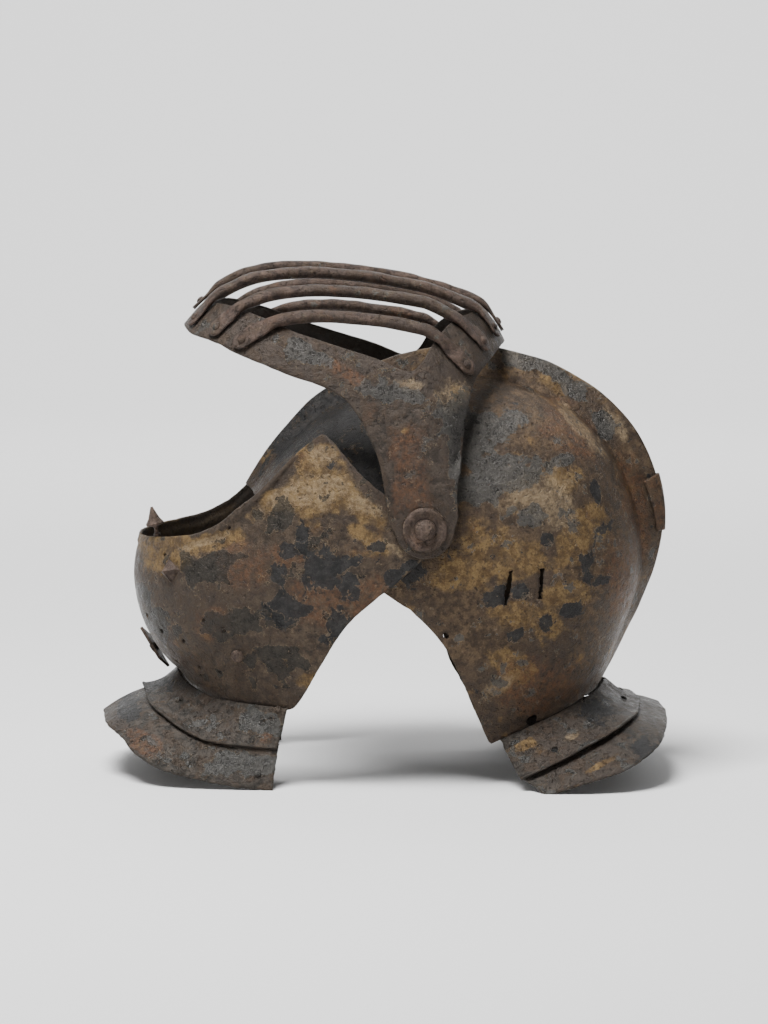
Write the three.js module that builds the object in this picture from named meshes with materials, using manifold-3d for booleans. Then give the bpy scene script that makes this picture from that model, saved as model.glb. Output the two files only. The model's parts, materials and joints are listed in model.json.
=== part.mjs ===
// Tournament helmet with a raised barred visor and an open bevor, millimetres, +Z up, face towards -X.
// Every plate is a box bent over a form. The forms are written about the side pivot line,
// and the whole helmet is then lifted so that its lames stand on z = 0.
import * as THREE from 'three';
import * as BufferGeometryUtils from 'three/addons/utils/BufferGeometryUtils.js';
import Module from 'manifold-3d';

const wasm = await Module();
wasm.setup();

// Driving dimensions
const PIVOT_X = 27;
const PIVOT_Z = 178.2;
const PLATE = 2;
const LAME = 1.8;
const SLIT = 0.4;
const SKULL_HALF_WIDTH = 99.5;
const PIVOT_SWELL = 3;
const BEVOR_HALF_WIDTH = 107;
const VISOR_HALF_WIDTH = 109.8;
const COMB_HALF_WIDTH = 22;
const CREST_HALF_THICKNESS = 1.5;
const BOLT_RADIUS = 3;
const BOLT_HOLE_RADIUS = 3.4;
const ROSETTE_RADIUS = 15;

// Finishes
const finishes = {
  skullIron: new THREE.MeshStandardMaterial({ color: 0x4a3b2c, roughness: 0.62, metalness: 0.75 }),
  bevorIron: new THREE.MeshStandardMaterial({ color: 0x5a4733, roughness: 0.6, metalness: 0.75 }),
  visorIron: new THREE.MeshStandardMaterial({ color: 0x4d4136, roughness: 0.6, metalness: 0.75 }),
  lameIron: new THREE.MeshStandardMaterial({ color: 0x423b34, roughness: 0.65, metalness: 0.7 }),
  rivetIron: new THREE.MeshStandardMaterial({ color: 0x3a2f27, roughness: 0.55, metalness: 0.8 }),
};

const helmet = new THREE.Group();
helmet.position.set(PIVOT_X, 0, PIVOT_Z);

// Shared tools: smooth tables, rounded sections, bent plates, joining and cutting
const radians = THREE.MathUtils.degToRad;
const degrees = THREE.MathUtils.radToDeg;

// Reads a table of [key, value] rows, keys rising, with smooth steps between its rows.
function reading(rows, key) {
  const last = rows.length - 1;
  if (key <= rows[0][0]) return rows[0][1];
  if (key >= rows[last][0]) return rows[last][1];
  const i = rows.findIndex((row) => row[0] > key) - 1;
  const slope = (a, b) => (rows[b][1] - rows[a][1]) / (rows[b][0] - rows[a][0]);
  const span = rows[i + 1][0] - rows[i][0];
  const before = slope(Math.max(i - 1, 0), i + 1) * span;
  const after = slope(i, Math.min(i + 2, last)) * span;
  const t = (key - rows[i][0]) / span;
  const rest = 1 - t;
  return rows[i][1] * (1 + 2 * t) * rest * rest + before * t * rest * rest
    + rows[i + 1][1] * t * t * (3 - 2 * t) - after * t * t * rest;
}

// Share of the median radius and share of the half width at the angle a of a rounded section.
const reach = (a, blunt) => Math.max(Math.cos(a), 0) ** (2 / blunt);
const spread = (a, blunt) => Math.sign(a) * Math.abs(Math.sin(a)) ** (2 / blunt);

function tidy(geometry) {
  geometry.deleteAttribute('normal');
  geometry.deleteAttribute('uv');
  return BufferGeometryUtils.mergeVertices(geometry, 1e-3);
}

function toSolid(geometry) {
  const merged = tidy(geometry.clone());
  return new wasm.Manifold(new wasm.Mesh({
    numProp: 3,
    vertProperties: new Float32Array(merged.attributes.position.array),
    triVerts: new Uint32Array(merged.index.array),
  }));
}

function toGeometry(solid) {
  const mesh = solid.getMesh();
  const geometry = new THREE.BufferGeometry();
  geometry.setAttribute('position', new THREE.BufferAttribute(new Float32Array(mesh.vertProperties), 3));
  geometry.setIndex(new THREE.BufferAttribute(new Uint32Array(mesh.triVerts), 1));
  return geometry;
}

// A plate is a box bent over form(u, v), its outer face; the wall lies inside by `thickness`.
function bentPlate(form, along, across, thickness, inner) {
  const box = new THREE.BoxGeometry(1, 1, 1, along, across, 1);
  const place = box.attributes.position;
  const step = 1e-3;
  for (let i = 0; i < place.count; i += 1) {
    const u = place.getX(i) + 0.5;
    const v = place.getY(i) + 0.5;
    const point = form(u, v);
    if (place.getZ(i) < 0) {
      const du = form(Math.min(u + step, 1), v).sub(form(Math.max(u - step, 0), v));
      const dv = form(u, Math.min(v + step, 1)).sub(form(u, Math.max(v - step, 0)));
      const outward = du.cross(dv).normalize();
      if (inner) inner(point, outward, thickness, u, v);
      else point.addScaledVector(outward, -thickness);
    }
    place.setXYZ(i, point.x, point.y, point.z);
  }
  return tidy(box);
}

function addPiece(name, geometry, material) {
  const shown = BufferGeometryUtils.toCreasedNormals(geometry, radians(38));
  const mesh = new THREE.Mesh(shown, material);
  mesh.name = name;
  helmet.add(mesh);
  return mesh;
}

// A round pin along Y, from y0 to y1, at the side-view place x, z.
function pin(x, z, radius, y0, y1, sides = 20) {
  const geometry = new THREE.CylinderGeometry(radius, radius, Math.abs(y1 - y0), sides);
  return toSolid(geometry.translate(x, (y0 + y1) / 2, z));
}

// Skull: one bowl with a tall hollow comb, polar about a point on its front edge
const SKULL_HEART = { x: -10, z: -55 };
const SKULL_BLUNT = 2.4;
const FRONT_ANGLE = 146.4;
const COMB_SHARE = 0.3;

// Side view of the comb's crest: angle about the heart, radius
const crestRows = [
  [-64, 156], [-45, 151.5], [-34, 150], [-24, 148], [-18, 150], [-11, 154], [-3, 161.5], [6, 172.5],
  [14, 181.5], [21, 187.5], [29, 192], [37, 194], [47, 192.5], [56, 188.5], [63, 184.5], [72, 179.5],
  [83, 172], [92, 165], [101, 159], [116, 151], [129, 142.5], [140, 137.8], [147, 136],
];

// Height of the comb over the bowl at the same angles
const combRows = [
  [-40, 0], [-24, 2], [-12, 4.5], [4, 9.5], [13, 16], [23, 21], [36, 22.5], [60, 20.5], [90, 17.5],
  [120, 12], [147, 5],
];

// Lower front edge of the cheek: share of the bowl's radius, angle about the heart
const cheekRows = [[0, -40], [0.19, -46], [0.35, -52.5], [0.49, -57], [0.7, -60], [1, -62]];

// The neck edge is level across and lies in one sloping plane, given by two side-view points.
const NECK_REAR = { x: 125.9, z: -116.1 };
const NECK_CORNER = { x: 44.7, z: -150.2 };

function combRise(y) {
  const flank = (Math.abs(y) - CREST_HALF_THICKNESS) / (COMB_HALF_WIDTH - CREST_HALF_THICKNESS);
  return flank >= 1 ? 0 : (1 - Math.max(flank, 0)) ** 2.4;
}

function skullPoint(angle, y) {
  const comb = reading(combRows, angle);
  const bowl = reading(crestRows, angle) - comb;
  const share = Math.min(Math.abs(y) / SKULL_HALF_WIDTH, 1);
  const r = bowl * (1 - share ** SKULL_BLUNT) ** (1 / SKULL_BLUNT) + comb * combRise(y);
  const x = SKULL_HEART.x + r * Math.cos(radians(angle));
  const z = SKULL_HEART.z + r * Math.sin(radians(angle));
  const swell = PIVOT_SWELL * (1 - THREE.MathUtils.smoothstep(Math.hypot(x, z), 20, 70));
  return new THREE.Vector3(x, y + (Math.abs(y) > 60 ? Math.sign(y) * swell : 0), z);
}

// Side stations -1..1 are close together over the comb, then take even steps round the bowl.
function skullWidthAt(side) {
  const k = Math.abs(side) / COMB_SHARE;
  if (k <= 1) return Math.sign(side) * COMB_HALF_WIDTH * k ** 1.5;
  const start = Math.asin((COMB_HALF_WIDTH / SKULL_HALF_WIDTH) ** (SKULL_BLUNT / 2));
  const a = start + (radians(89.6) - start) * (Math.abs(side) - COMB_SHARE) / (1 - COMB_SHARE);
  return Math.sign(side) * SKULL_HALF_WIDTH * spread(a, SKULL_BLUNT);
}

function skullForm(u, v) {
  const y = skullWidthAt(2 * u - 1);
  const share = (1 - (Math.abs(y) / SKULL_HALF_WIDTH) ** SKULL_BLUNT) ** (1 / SKULL_BLUNT);
  const last = reading(cheekRows, share);
  return skullPoint(FRONT_ANGLE + (last - FRONT_ANGLE) * v, y);
}

// Inside the comb the inner wall stays on its own side of the median plane.
function skullInner(point, outward, thickness) {
  const side = Math.sign(point.y);
  const width = Math.abs(point.y);
  point.addScaledVector(outward, -thickness);
  if (width < COMB_HALF_WIDTH) {
    point.y = side * Math.max(point.y * side, 0.4 * width / COMB_HALF_WIDTH);
  }
}

function sideBox(corner, length, height, angle) {
  const box = new THREE.BoxGeometry(length, 400, height);
  box.rotateY(-angle).translate(corner.x, 0, corner.z);
  return toSolid(box);
}

const neckSlope = Math.atan2(NECK_REAR.z - NECK_CORNER.z, NECK_REAR.x - NECK_CORNER.x);
const belowNeck = sideBox(
  { x: NECK_CORNER.x + 100 * Math.sin(neckSlope), z: NECK_CORNER.z - 100 * Math.cos(neckSlope) },
  600, 200, neckSlope,
);

// Old openings in the bowl: side-view place, width, height, lean from upright
const skullSlots = [
  { x: 56.3, z: -41, width: 3, height: 24, lean: 9 },
  { x: 78.8, z: -39, width: 3, height: 21, lean: 4 },
];
const skullHoles = [{ x: 14.5, z: -73, radius: 2.2 }, { x: 73.5, z: -134.5, radius: 4.4 }];

let skullSolid = toSolid(bentPlate(skullForm, 28, 18, PLATE, skullInner)).subtract(belowNeck);
for (const slot of skullSlots) {
  const box = new THREE.BoxGeometry(slot.width, 70, slot.height);
  box.rotateY(radians(slot.lean)).translate(slot.x, -90, slot.z);
  skullSolid = skullSolid.subtract(toSolid(box));
}
for (const hole of skullHoles) {
  skullSolid = skullSolid.subtract(pin(hole.x, hole.z, hole.radius, -130, -40, 12));
}
skullSolid = skullSolid.subtract(pin(0, 0, BOLT_HOLE_RADIUS, -130, 130));
addPiece('skull', toGeometry(skullSolid), finishes.skullIron);

// Comb clip: a strap bent over the back of the crest that held the crest's socket
const CLIP = { low: 14, high: 25.5, width: 7, lift: 4.2, wall: 1.6 };
function clipForm(u, v, lift = CLIP.lift) {
  const angle = CLIP.high + (CLIP.low - CLIP.high) * v;
  const y = (1 - 2 * u) * CLIP.width * (1 - 0.35 * v);
  const point = skullPoint(angle, y);
  const along = skullPoint(angle - 0.5, y).sub(skullPoint(angle + 0.5, y));
  const across = skullPoint(angle, y + 0.8).sub(skullPoint(angle, y - 0.8));
  return point.addScaledVector(along.cross(across).normalize(), lift);
}
function clipInner(point, outward, thickness, u, v) {
  point.copy(clipForm(u, v, CLIP.lift - thickness));
}
addPiece('comb_clip', bentPlate(clipForm, 10, 5, CLIP.wall, clipInner), finishes.rivetIron);

// Pieces that turn about the side pivots are polar about the pivot line. A form gives, for a share
// of the way in from the median plane and an angle, the point on the outer face.
function pivotForm(shape) {
  const radiusAt = (angle, share) => {
    const k = THREE.MathUtils.smoothstep(share, 0.12, 0.5);
    return reading(shape.medianRows, angle) * k + shape.hubReach * (1 - k);
  };
  const pointAt = (angle, share, side) => {
    const r = share * radiusAt(angle, share);
    const blunt = shape.hubBlunt + (reading(shape.bluntRows, angle) - shape.hubBlunt)
      * THREE.MathUtils.smoothstep(share, 0.1, 0.45);
    const y = side * shape.halfWidth * (1 - share ** blunt) ** (1 / blunt);
    return new THREE.Vector3(r * Math.cos(radians(angle)), y, r * Math.sin(radians(angle)));
  };
  const outwardAt = (angle, share, side) => {
    const step = Math.min(share + 0.004, 1) - 0.004;
    const across = pointAt(angle, step + 0.004, side).sub(pointAt(angle, step - 0.004, side));
    if (share > 0.999) across.set(0, -1, 0);
    const along = pointAt(angle + 0.5, share, side).sub(pointAt(angle - 0.5, share, side));
    const outward = along.cross(across).normalize();
    const place = pointAt(angle, share, side);
    return outward.dot(place) < 0 ? outward.negate() : outward;
  };
  const edgeAt = (rows, share) => {
    let angle = reading(rows, share * radiusAt(120, share));
    for (let i = 0; i < 8; i += 1) angle = reading(rows, share * radiusAt(angle, share));
    return angle;
  };
  const atRadius = (angle, radius, side) => {
    let share = radius / radiusAt(angle, 1);
    for (let i = 0; i < 8; i += 1) share = Math.min(radius / radiusAt(angle, share), 1);
    return pointAt(angle, share, side);
  };
  const form = (u, v) => {
    const a = (2 * u - 1) * radians(shape.lastStation);
    const share = reach(a, shape.stationBlunt);
    const first = edgeAt(shape.firstEdge, share);
    const last = edgeAt(shape.lastEdge, share);
    return pointAt(first + (last - first) * v, share, Math.sign(a));
  };
  return { form, pointAt, atRadius, edgeAt, radiusAt, outwardAt };
}

// A round eye at each side carries the pivot bolt.
function sideEyes(solid, halfWidth, wall, radius) {
  let result = solid;
  for (const side of [-1, 1]) {
    result = result.add(pin(0, 0, radius, side * (halfWidth - wall), side * halfWidth, 40));
  }
  return result.subtract(pin(0, 0, BOLT_HOLE_RADIUS, -140, 140));
}

// Bevor: the chin piece, swung open. Angles run from the face opening down to the neck.
const bevorShape = {
  halfWidth: BEVOR_HALF_WIDTH,
  stationBlunt: 2.4,
  hubBlunt: 2.2,
  bluntRows: [[137, 2.05], [183, 2.3], [213, 2.6]],
  hubReach: 198,
  lastStation: 87.5,
  medianRows: [
    [137, 196], [175, 196], [183.7, 198], [187.5, 203], [192, 207], [197, 209], [202, 209.3],
    [207, 207], [210, 204.5], [213, 201.5], [225, 205], [236, 212],
  ],
  // Face opening, then the straight rear edge of the cheek: radius, angle
  firstEdge: [
    [17, 110], [26, 137], [93, 137], [95.5, 142], [99, 149], [105, 159], [115, 168.6], [126, 174.2], [137, 178.9],
    [153.5, 182.2], [172, 183.3], [191, 183.7],
  ],
  // Rear edge below the pivot, then the neck: radius, angle
  lastEdge: [
    [17, 270], [31, 250], [50, 238], [66, 233.3], [80, 231.5], [95, 231.7], [125, 233.6], [148, 234.6], [156, 233.8], [166, 229],
    [177, 224.7], [189, 220.7], [193, 218.8], [199, 215.6], [201.3, 213],
  ],
};
const bevorForms = pivotForm(bevorShape);

// Breath and lacing holes: angle, radius, hole radius
const breathRows = [
  [199.3, 203, 1.6], [203, 196, 1.6], [206.4, 184, 1.6], [203.5, 164, 1.4], [207.8, 154, 1.6],
  [210, 197, 1.5], [213.2, 184, 1.5], [187.2, 179, 1.3], [180.6, 132, 1.3],
];
let bevorSolid = toSolid(bentPlate(bevorForms.form, 32, 8, PLATE));
bevorSolid = sideEyes(bevorSolid, BEVOR_HALF_WIDTH, PLATE, 18.5);
for (const [angle, radius, hole] of breathRows) {
  const place = bevorForms.atRadius(angle, radius, -1);
  bevorSolid = bevorSolid.subtract(pin(place.x, place.z, hole, -130, Math.min(place.y + 30, -3), 6));
}
addPiece('bevor', toGeometry(bevorSolid), finishes.bevorIron);

// Visor frame: front band, two side arms and the broad brow band, round one window
const visorShape = {
  halfWidth: VISOR_HALF_WIDTH,
  stationBlunt: 2.2,
  hubBlunt: 2.5,
  bluntRows: [[65, 1.75], [78, 2.1], [90, 2.5]],
  hubReach: 170,
  lastStation: 86.5,
  medianRows: [
    [64.7, 133], [68.4, 140], [73.2, 148], [83.4, 154.3], [95.6, 163], [106.5, 174.6], [117.8, 192],
    [125.2, 204], [131, 210], [136, 212.5], [141.4, 213],
  ],
  // Rear edge of the arm and of the brow band: radius, angle
  firstEdge: [
    [16, -30], [20, 0], [29.4, 43.4], [47, 59.2], [72, 68.2], [88.4, 70.1], [105.2, 70.5],
    [118.4, 67.9], [129, 66], [134, 64.7],
  ],
  // Front edge of the arm and of the front band: radius, angle
  lastEdge: [
    [16, 215], [20, 190], [28.2, 151.5], [47, 127.9], [71, 121.3], [98, 120.9], [113, 124.3],
    [137, 131.4], [168, 136.9], [189, 139.1], [205, 141.2], [213, 141.4],
  ],
};
const visorForms = pivotForm(visorShape);

// Window: angle, radius of its side edge
const windowRows = [
  [75.5, 147], [79, 143], [83, 135.5], [87, 124], [90, 113], [94, 106], [98.3, 107.6], [106, 118],
  [115, 133.3], [122.8, 154], [126, 168], [129, 183], [132, 199], [134.5, 209],
];
function windowForm(u, v) {
  const angle = windowRows[0][0] + (windowRows.at(-1)[0] - windowRows[0][0]) * v;
  const share = Math.min(reading(windowRows, angle) / visorForms.radiusAt(angle, 1), 0.9985);
  const widest = Math.acos(share ** (visorShape.stationBlunt / 2));
  const a = (2 * u - 1) * widest;
  const point = visorForms.pointAt(angle, reach(a, visorShape.stationBlunt), Math.sign(a));
  return point.multiplyScalar(1.06);
}
const windowSolid = toSolid(bentPlate(windowForm, 10, 14, 26));
let visorSolid = toSolid(bentPlate(visorForms.form, 30, 10, PLATE)).subtract(windowSolid);
visorSolid = sideEyes(visorSolid, VISOR_HALF_WIDTH, PLATE, 19.5);
addPiece('visor_frame', toGeometry(visorSolid), finishes.visorIron);

// Window bars: an oval rod drawn out flat at each end and riveted to the frame, sunk a little in the window
const BAR = {
  width: 8.4, overPlate: 5, inWindow: 7.2, sink: 1.9, run: 8,
  footWidth: 12, footThickness: 2.2, neck: 10, steps: 18,
};
// Distance from the middle at the rear and at the front, length of each foot
const barPlaces = [
  { rear: 0, front: 0, foot: 15 },
  { rear: 25, front: 36, foot: 15 },
  { rear: 51, front: 60, foot: 20 },
  { rear: 75, front: 75, foot: 24 },
];

function barGeometry(place) {
  const side = Math.sign(place) || 1;
  const { rear, front, foot } = barPlaces[Math.abs(place)];
  const shareAt = (angle) => {
    const k = THREE.MathUtils.clamp((angle - 66) / 74, 0, 1);
    const y = rear * (1 - k) + front * k;
    const blunt = reading(visorShape.bluntRows, angle);
    return (1 - (y / VISOR_HALF_WIDTH) ** blunt) ** (1 / blunt);
  };
  const start = visorForms.edgeAt(visorShape.firstEdge, shareAt(68)) + 2.2;
  const end = visorForms.edgeAt(visorShape.lastEdge, shareAt(138)) - 0.5;
  const line = (angle) => visorForms.pointAt(angle, shareAt(angle), side);
  const points = [];
  for (let i = 0; i <= 60; i += 1) points.push(line(start + (end - start) * i / 60));
  const route = new THREE.CatmullRomCurve3(points);
  const length = route.getLength();
  const sections = [];
  for (let i = 0; i <= BAR.steps; i += 1) {
    const t = i / BAR.steps;
    const s = t - 0.06 * Math.sin(4 * Math.PI * t) / (2 * Math.PI) * 2;
    const centre = route.getPointAt(THREE.MathUtils.clamp(s, 0, 1));
    const along = route.getTangentAt(THREE.MathUtils.clamp(s, 0, 1));
    const angle = degrees(Math.atan2(centre.z, centre.x));
    const lift = visorForms.outwardAt(angle, shareAt(angle), side);
    lift.addScaledVector(along, -lift.dot(along)).normalize();
    const beside = new THREE.Vector3().crossVectors(along, lift).normalize();
    const fromEnd = Math.min(s, 1 - s) * length;
    const k = THREE.MathUtils.smoothstep(fromEnd, foot - 4, foot + BAR.neck);
    const sunk = THREE.MathUtils.smoothstep(fromEnd, foot + BAR.neck, foot + BAR.neck + BAR.run);
    const rod = BAR.overPlate * (1 - sunk) + BAR.inWindow * sunk;
    const round = Math.sqrt(THREE.MathUtils.clamp(fromEnd / 5, 0.12, 1));
    const width = (BAR.footWidth * (1 - k) + BAR.width * k) * round;
    const thickness = BAR.footThickness * (1 - k) + rod * k;
    const rise = SLIT + 0.7 - BAR.sink * sunk;
    sections.push({ centre, beside: beside.clone(), lift, width, thickness, rise });
  }
  const outline = [[-1, 0], [-1, 0.45], [-0.55, 1], [0.55, 1], [1, 0.45], [1, 0]];
  const positions = [];
  const index = [];
  const n = outline.length;
  for (const section of sections) {
    for (const [across, up] of outline) {
      const point = section.centre.clone();
      point.addScaledVector(section.beside, across * section.width / 2);
      point.addScaledVector(section.lift, section.rise + up * section.thickness);
      positions.push(point.x, point.y, point.z);
    }
  }
  for (let i = 0; i < sections.length - 1; i += 1) {
    for (let j = 0; j < n; j += 1) {
      const a = i * n + j;
      const b = i * n + (j + 1) % n;
      index.push(a, b, a + n, b, b + n, a + n);
    }
  }
  for (let j = 1; j < n - 1; j += 1) {
    const last = (sections.length - 1) * n;
    index.push(0, j + 1, j, last, last + j, last + j + 1);
  }
  const geometry = new THREE.BufferGeometry();
  geometry.setAttribute('position', new THREE.BufferAttribute(new Float32Array(positions), 3));
  geometry.setIndex(index);
  return geometry;
}

const barRows = [['bar_centre', 0]];
for (const i of [1, 2, 3]) barRows.push([`bar_left_${i}`, -i], [`bar_right_${i}`, i]);
for (const [name, place] of barRows) addPiece(name, barGeometry(place), finishes.visorIron);

// Pivots: a bolt through all three plates at each side, over a raised rosette
const PIVOT_FACE = VISOR_HALF_WIDTH + SLIT;
const rosetteProfile = [
  [BOLT_HOLE_RADIUS, 0], [ROSETTE_RADIUS, 0], [ROSETTE_RADIUS, 0.8], [13.6, 1.7], [11.6, 1.5],
  [10.2, 0.9], [8.2, 1], [BOLT_HOLE_RADIUS, 1.4], [BOLT_HOLE_RADIUS, 0],
];
const BOLT_REACH = 18;
const boltProfile = [
  [0, -BOLT_REACH], [BOLT_RADIUS, -BOLT_REACH], [BOLT_RADIUS, 1.8], [7.4, 1.8], [7.2, 3], [5.9, 4.7],
  [3.4, 5.9], [0, 6.3], [0, -BOLT_REACH],
];
for (const [name, side] of [['left', -1], ['right', 1]]) {
  for (const [piece, profile, count] of [
    ['pivot_rosette', rosetteProfile, 16], ['pivot_bolt', boltProfile, 14],
  ]) {
    const points = profile.map(([r, h]) => new THREE.Vector2(r, h));
    const turned = new THREE.LatheGeometry(points, count);
    if (side < 0) turned.rotateX(Math.PI);
    turned.translate(0, side * PIVOT_FACE, 0);
    addPiece(`${piece}_${name}`, toGeometry(toSolid(turned)), finishes.rivetIron);
  }
}

// Small fittings are modelled standing on +Y and seated on a form along its normal.
function seated(geometry, point, outward, turn = 0) {
  const set = new THREE.Matrix4().makeRotationY(turn);
  const lean = new THREE.Quaternion().setFromUnitVectors(new THREE.Vector3(0, 1, 0), outward);
  set.premultiply(new THREE.Matrix4().makeRotationFromQuaternion(lean)).setPosition(point);
  return geometry.applyMatrix4(set);
}

function domeGeometry(radius, height, foot = 0) {
  const profile = [[0, -foot], [radius, -foot], [radius, 0], [radius * 0.86, height * 0.55]];
  profile.push([radius * 0.5, height * 0.92], [0, height], [0, -foot]);
  return new THREE.LatheGeometry(profile.map(([r, h]) => new THREE.Vector2(r, h)), 10);
}

// Bevor fittings: a pyramid stud, a domed rivet, a catch peg and a small catch plate
function onBevor(angle, radius, side, lift) {
  const point = bevorForms.atRadius(angle, radius, side);
  const share = Math.min(radius / bevorForms.radiusAt(angle, 0.9), 1);
  const outward = bevorForms.outwardAt(angle, share, side);
  return { point: point.addScaledVector(outward, lift), outward };
}

const STUD = { radius: 8.6, height: 7.5 };
const stud = new THREE.ConeGeometry(STUD.radius, STUD.height, 4).translate(0, STUD.height / 2, 0);
const studSeat = onBevor(190.8, 176.6, -1, 0.05);
addPiece('bevor_stud', seated(stud, studSeat.point, studSeat.outward, 0.4), finishes.rivetIron);

const rivetSeat = onBevor(215.1, 155, -1, SLIT);
addPiece(
  'bevor_rivet', seated(domeGeometry(4.7, 3.4), rivetSeat.point, rivetSeat.outward), finishes.rivetIron,
);

const pegProfile = [
  [0, 0], [2.6, 0], [2.6, 1], [1.4, 2], [1.3, 5], [2.2, 6.3], [6.3, 7.6], [6.4, 8.6], [4, 12],
  [0.8, 20], [0, 20], [0, 0],
];
const peg = new THREE.LatheGeometry(pegProfile.map(([r, h]) => new THREE.Vector2(r, h)), 10);
const pegSeat = bevorForms.atRadius(183.4, 183.5, -1);
pegSeat.add(new THREE.Vector3(0, 1, SLIT));
const pegLean = new THREE.Vector3(-0.2, 0, 1).normalize();
addPiece('bevor_peg', seated(peg, pegSeat, pegLean), finishes.rivetIron);

const CATCH = { length: 29, width: 17, wall: 2, studRadius: 3.2, stand: 2.2 };
const catchAngle = 206.5;
const catchSeat = onBevor(catchAngle, bevorForms.radiusAt(catchAngle, 1), 1, SLIT);
const catchPlate = toSolid(
  new THREE.BoxGeometry(CATCH.length, CATCH.wall, CATCH.width).translate(0, CATCH.stand + CATCH.wall / 2, 0),
);
const catchStud = toSolid(
  new THREE.CylinderGeometry(CATCH.studRadius, CATCH.studRadius, CATCH.stand + CATCH.wall + 1.6, 12)
    .translate(0, (CATCH.stand + CATCH.wall + 1.6) / 2, 0),
);
const catchTurn = Math.PI / 2;
addPiece(
  'bevor_plate',
  seated(toGeometry(catchPlate.add(catchStud)), catchSeat.point, catchSeat.outward, catchTurn),
  finishes.rivetIron,
);

// Gorget lames: each is a wall between an inner and an outer line, from the median to its side end.
// Rows: share of the line, x, y, z
const frontUpperRows = [
  [0, -197, 0, -119.5], [0.27, -189.5, 41, -127.5], [0.42, -179, 60, -133.4], [0.54, -167, 74, -140],
  [0.68, -149, 86, -146.7], [0.84, -125, 91.5, -149], [1, -100.5, 93, -151],
];
const frontLowerRows = [
  [0, -225.5, 0, -139], [0.23, -219.5, 42, -142.5], [0.36, -207.6, 63, -148.5], [0.456, -198, 78, -157],
  [0.58, -180, 92, -165.3], [0.74, -152, 99, -171.8], [0.886, -125, 102, -176.3], [1, -103, 103, -178.8],
];
const rearUpperRows = [
  [0, 153, 0, -131], [0.334, 146.5, 55, -133.5], [0.502, 134, 80, -138], [0.664, 113, 98, -146.5],
  [0.845, 88, 107, -158.5], [1, 65, 107, -170],
];
const rearLowerRows = [
  [0, 171, 0, -138.5], [0.27, 168, 50, -141], [0.465, 160, 86, -149.5], [0.643, 141, 110, -159.5],
  [0.816, 112, 119, -169], [1, 80.5, 117, -179],
];

function lineOf(rows) {
  const columns = [1, 2, 3].map((column) => rows.map((row) => [row[0], row[column]]));
  return (share) => new THREE.Vector3(...columns.map((column) => reading(column, share)));
}

// Neck lines: the edge of the bevor and of the skull, from the median to the end at the left side
const NECK_STATION = { bevor: 45.2, skull: 47.5 };
function bevorNeck(share) {
  const level = reach(radians(NECK_STATION.bevor * share), bevorShape.stationBlunt);
  return bevorForms.pointAt(bevorForms.edgeAt(bevorShape.lastEdge, level), level, 1);
}
function skullNeck(share) {
  const y = SKULL_HALF_WIDTH * spread(radians(NECK_STATION.skull * share), SKULL_BLUNT);
  const fall = Math.tan(neckSlope);
  let low = -70;
  let high = 0;
  for (let i = 0; i < 40; i += 1) {
    const middle = (low + high) / 2;
    const point = skullPoint(middle, y);
    if (point.z - NECK_CORNER.z < fall * (point.x - NECK_CORNER.x)) low = middle;
    else high = middle;
  }
  return skullPoint(high, y);
}

function upperLine(neck, centreX, out, rise) {
  return (share) => {
    const point = neck(share);
    const away = new THREE.Vector3(point.x - centreX, point.y, 0).normalize();
    return point.addScaledVector(away, out).add(new THREE.Vector3(0, 0, rise));
  };
}

function lameForm(innerLine, outerLine, hollow) {
  return (u, v) => {
    const side = 2 * u - 1;
    const inner = innerLine(Math.abs(side));
    const point = inner.lerp(outerLine(Math.abs(side)), v);
    point.z -= hollow * Math.sin(Math.PI * v);
    point.y *= side < 0 ? -1 : 1;
    return point;
  };
}

function tuckedLine(form, v, drop) {
  return (share) => {
    const u = 0.5 + share / 2;
    const step = 1e-3;
    const point = form(u, v);
    const du = form(Math.min(u + step, 1), v).sub(form(u - step, v));
    const dv = form(u, v + step).sub(form(u, v - step));
    return point.addScaledVector(du.cross(dv).normalize(), -drop);
  };
}

const floorBox = toSolid(new THREE.BoxGeometry(900, 600, 20).translate(0, 0, -PIVOT_Z - 10));
function addLame(name, form, flip, rivets) {
  const turned = flip ? (u, v) => form(1 - u, v) : form;
  let solid = toSolid(bentPlate(turned, 24, 3, LAME));
  for (const [share, v] of rivets) {
    for (const side of [-1, 1]) {
      const at = tuckedLine(form, v, 0)(share);
      const lifted = tuckedLine(form, v, -1)(share);
      const outward = lifted.sub(at).multiplyScalar(flip ? -1 : 1).normalize();
      at.y *= side;
      outward.y *= side;
      solid = solid.add(toSolid(seated(domeGeometry(3.2, 1.8, 1), at, outward)));
    }
  }
  addPiece(name, toGeometry(solid.subtract(floorBox)), finishes.lameIron);
}

const frontUpper = lameForm(upperLine(bevorNeck, -100, 2.9, 2), lineOf(frontUpperRows), 3);
const frontLower = lameForm(tuckedLine(frontUpper, 0.8, LAME + SLIT + 0.2), lineOf(frontLowerRows), -2);
const rearUpper = lameForm(upperLine(skullNeck, 60, 3.2, 0.5), lineOf(rearUpperRows), 2);
const rearLower = lameForm(tuckedLine(rearUpper, 0.78, -(LAME + SLIT + 1)), lineOf(rearLowerRows), -1);
addLame('front_lame_upper', frontUpper, false, [[0.5, 0.62], [0.96, 0.5]]);
addLame('front_lame_lower', frontLower, false, [[0.93, 0.72]]);
addLame('rear_lame_upper', rearUpper, true, [[0.95, 0.5]]);
addLame('rear_lame_lower', rearLower, true, []);

export default helmet;
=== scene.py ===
"""Tournament helmet with a raised barred visor and an open bevor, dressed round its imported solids.

Sizes in the tables are millimetres about the side pivot line: x towards the nape, z up.
Every finished mesh is moved to metres in the frame of the solids.
"""

import json
import math
from bisect import bisect_right
from functools import lru_cache

import bmesh
import bpy
from mathutils import Matrix, Vector, noise


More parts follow.
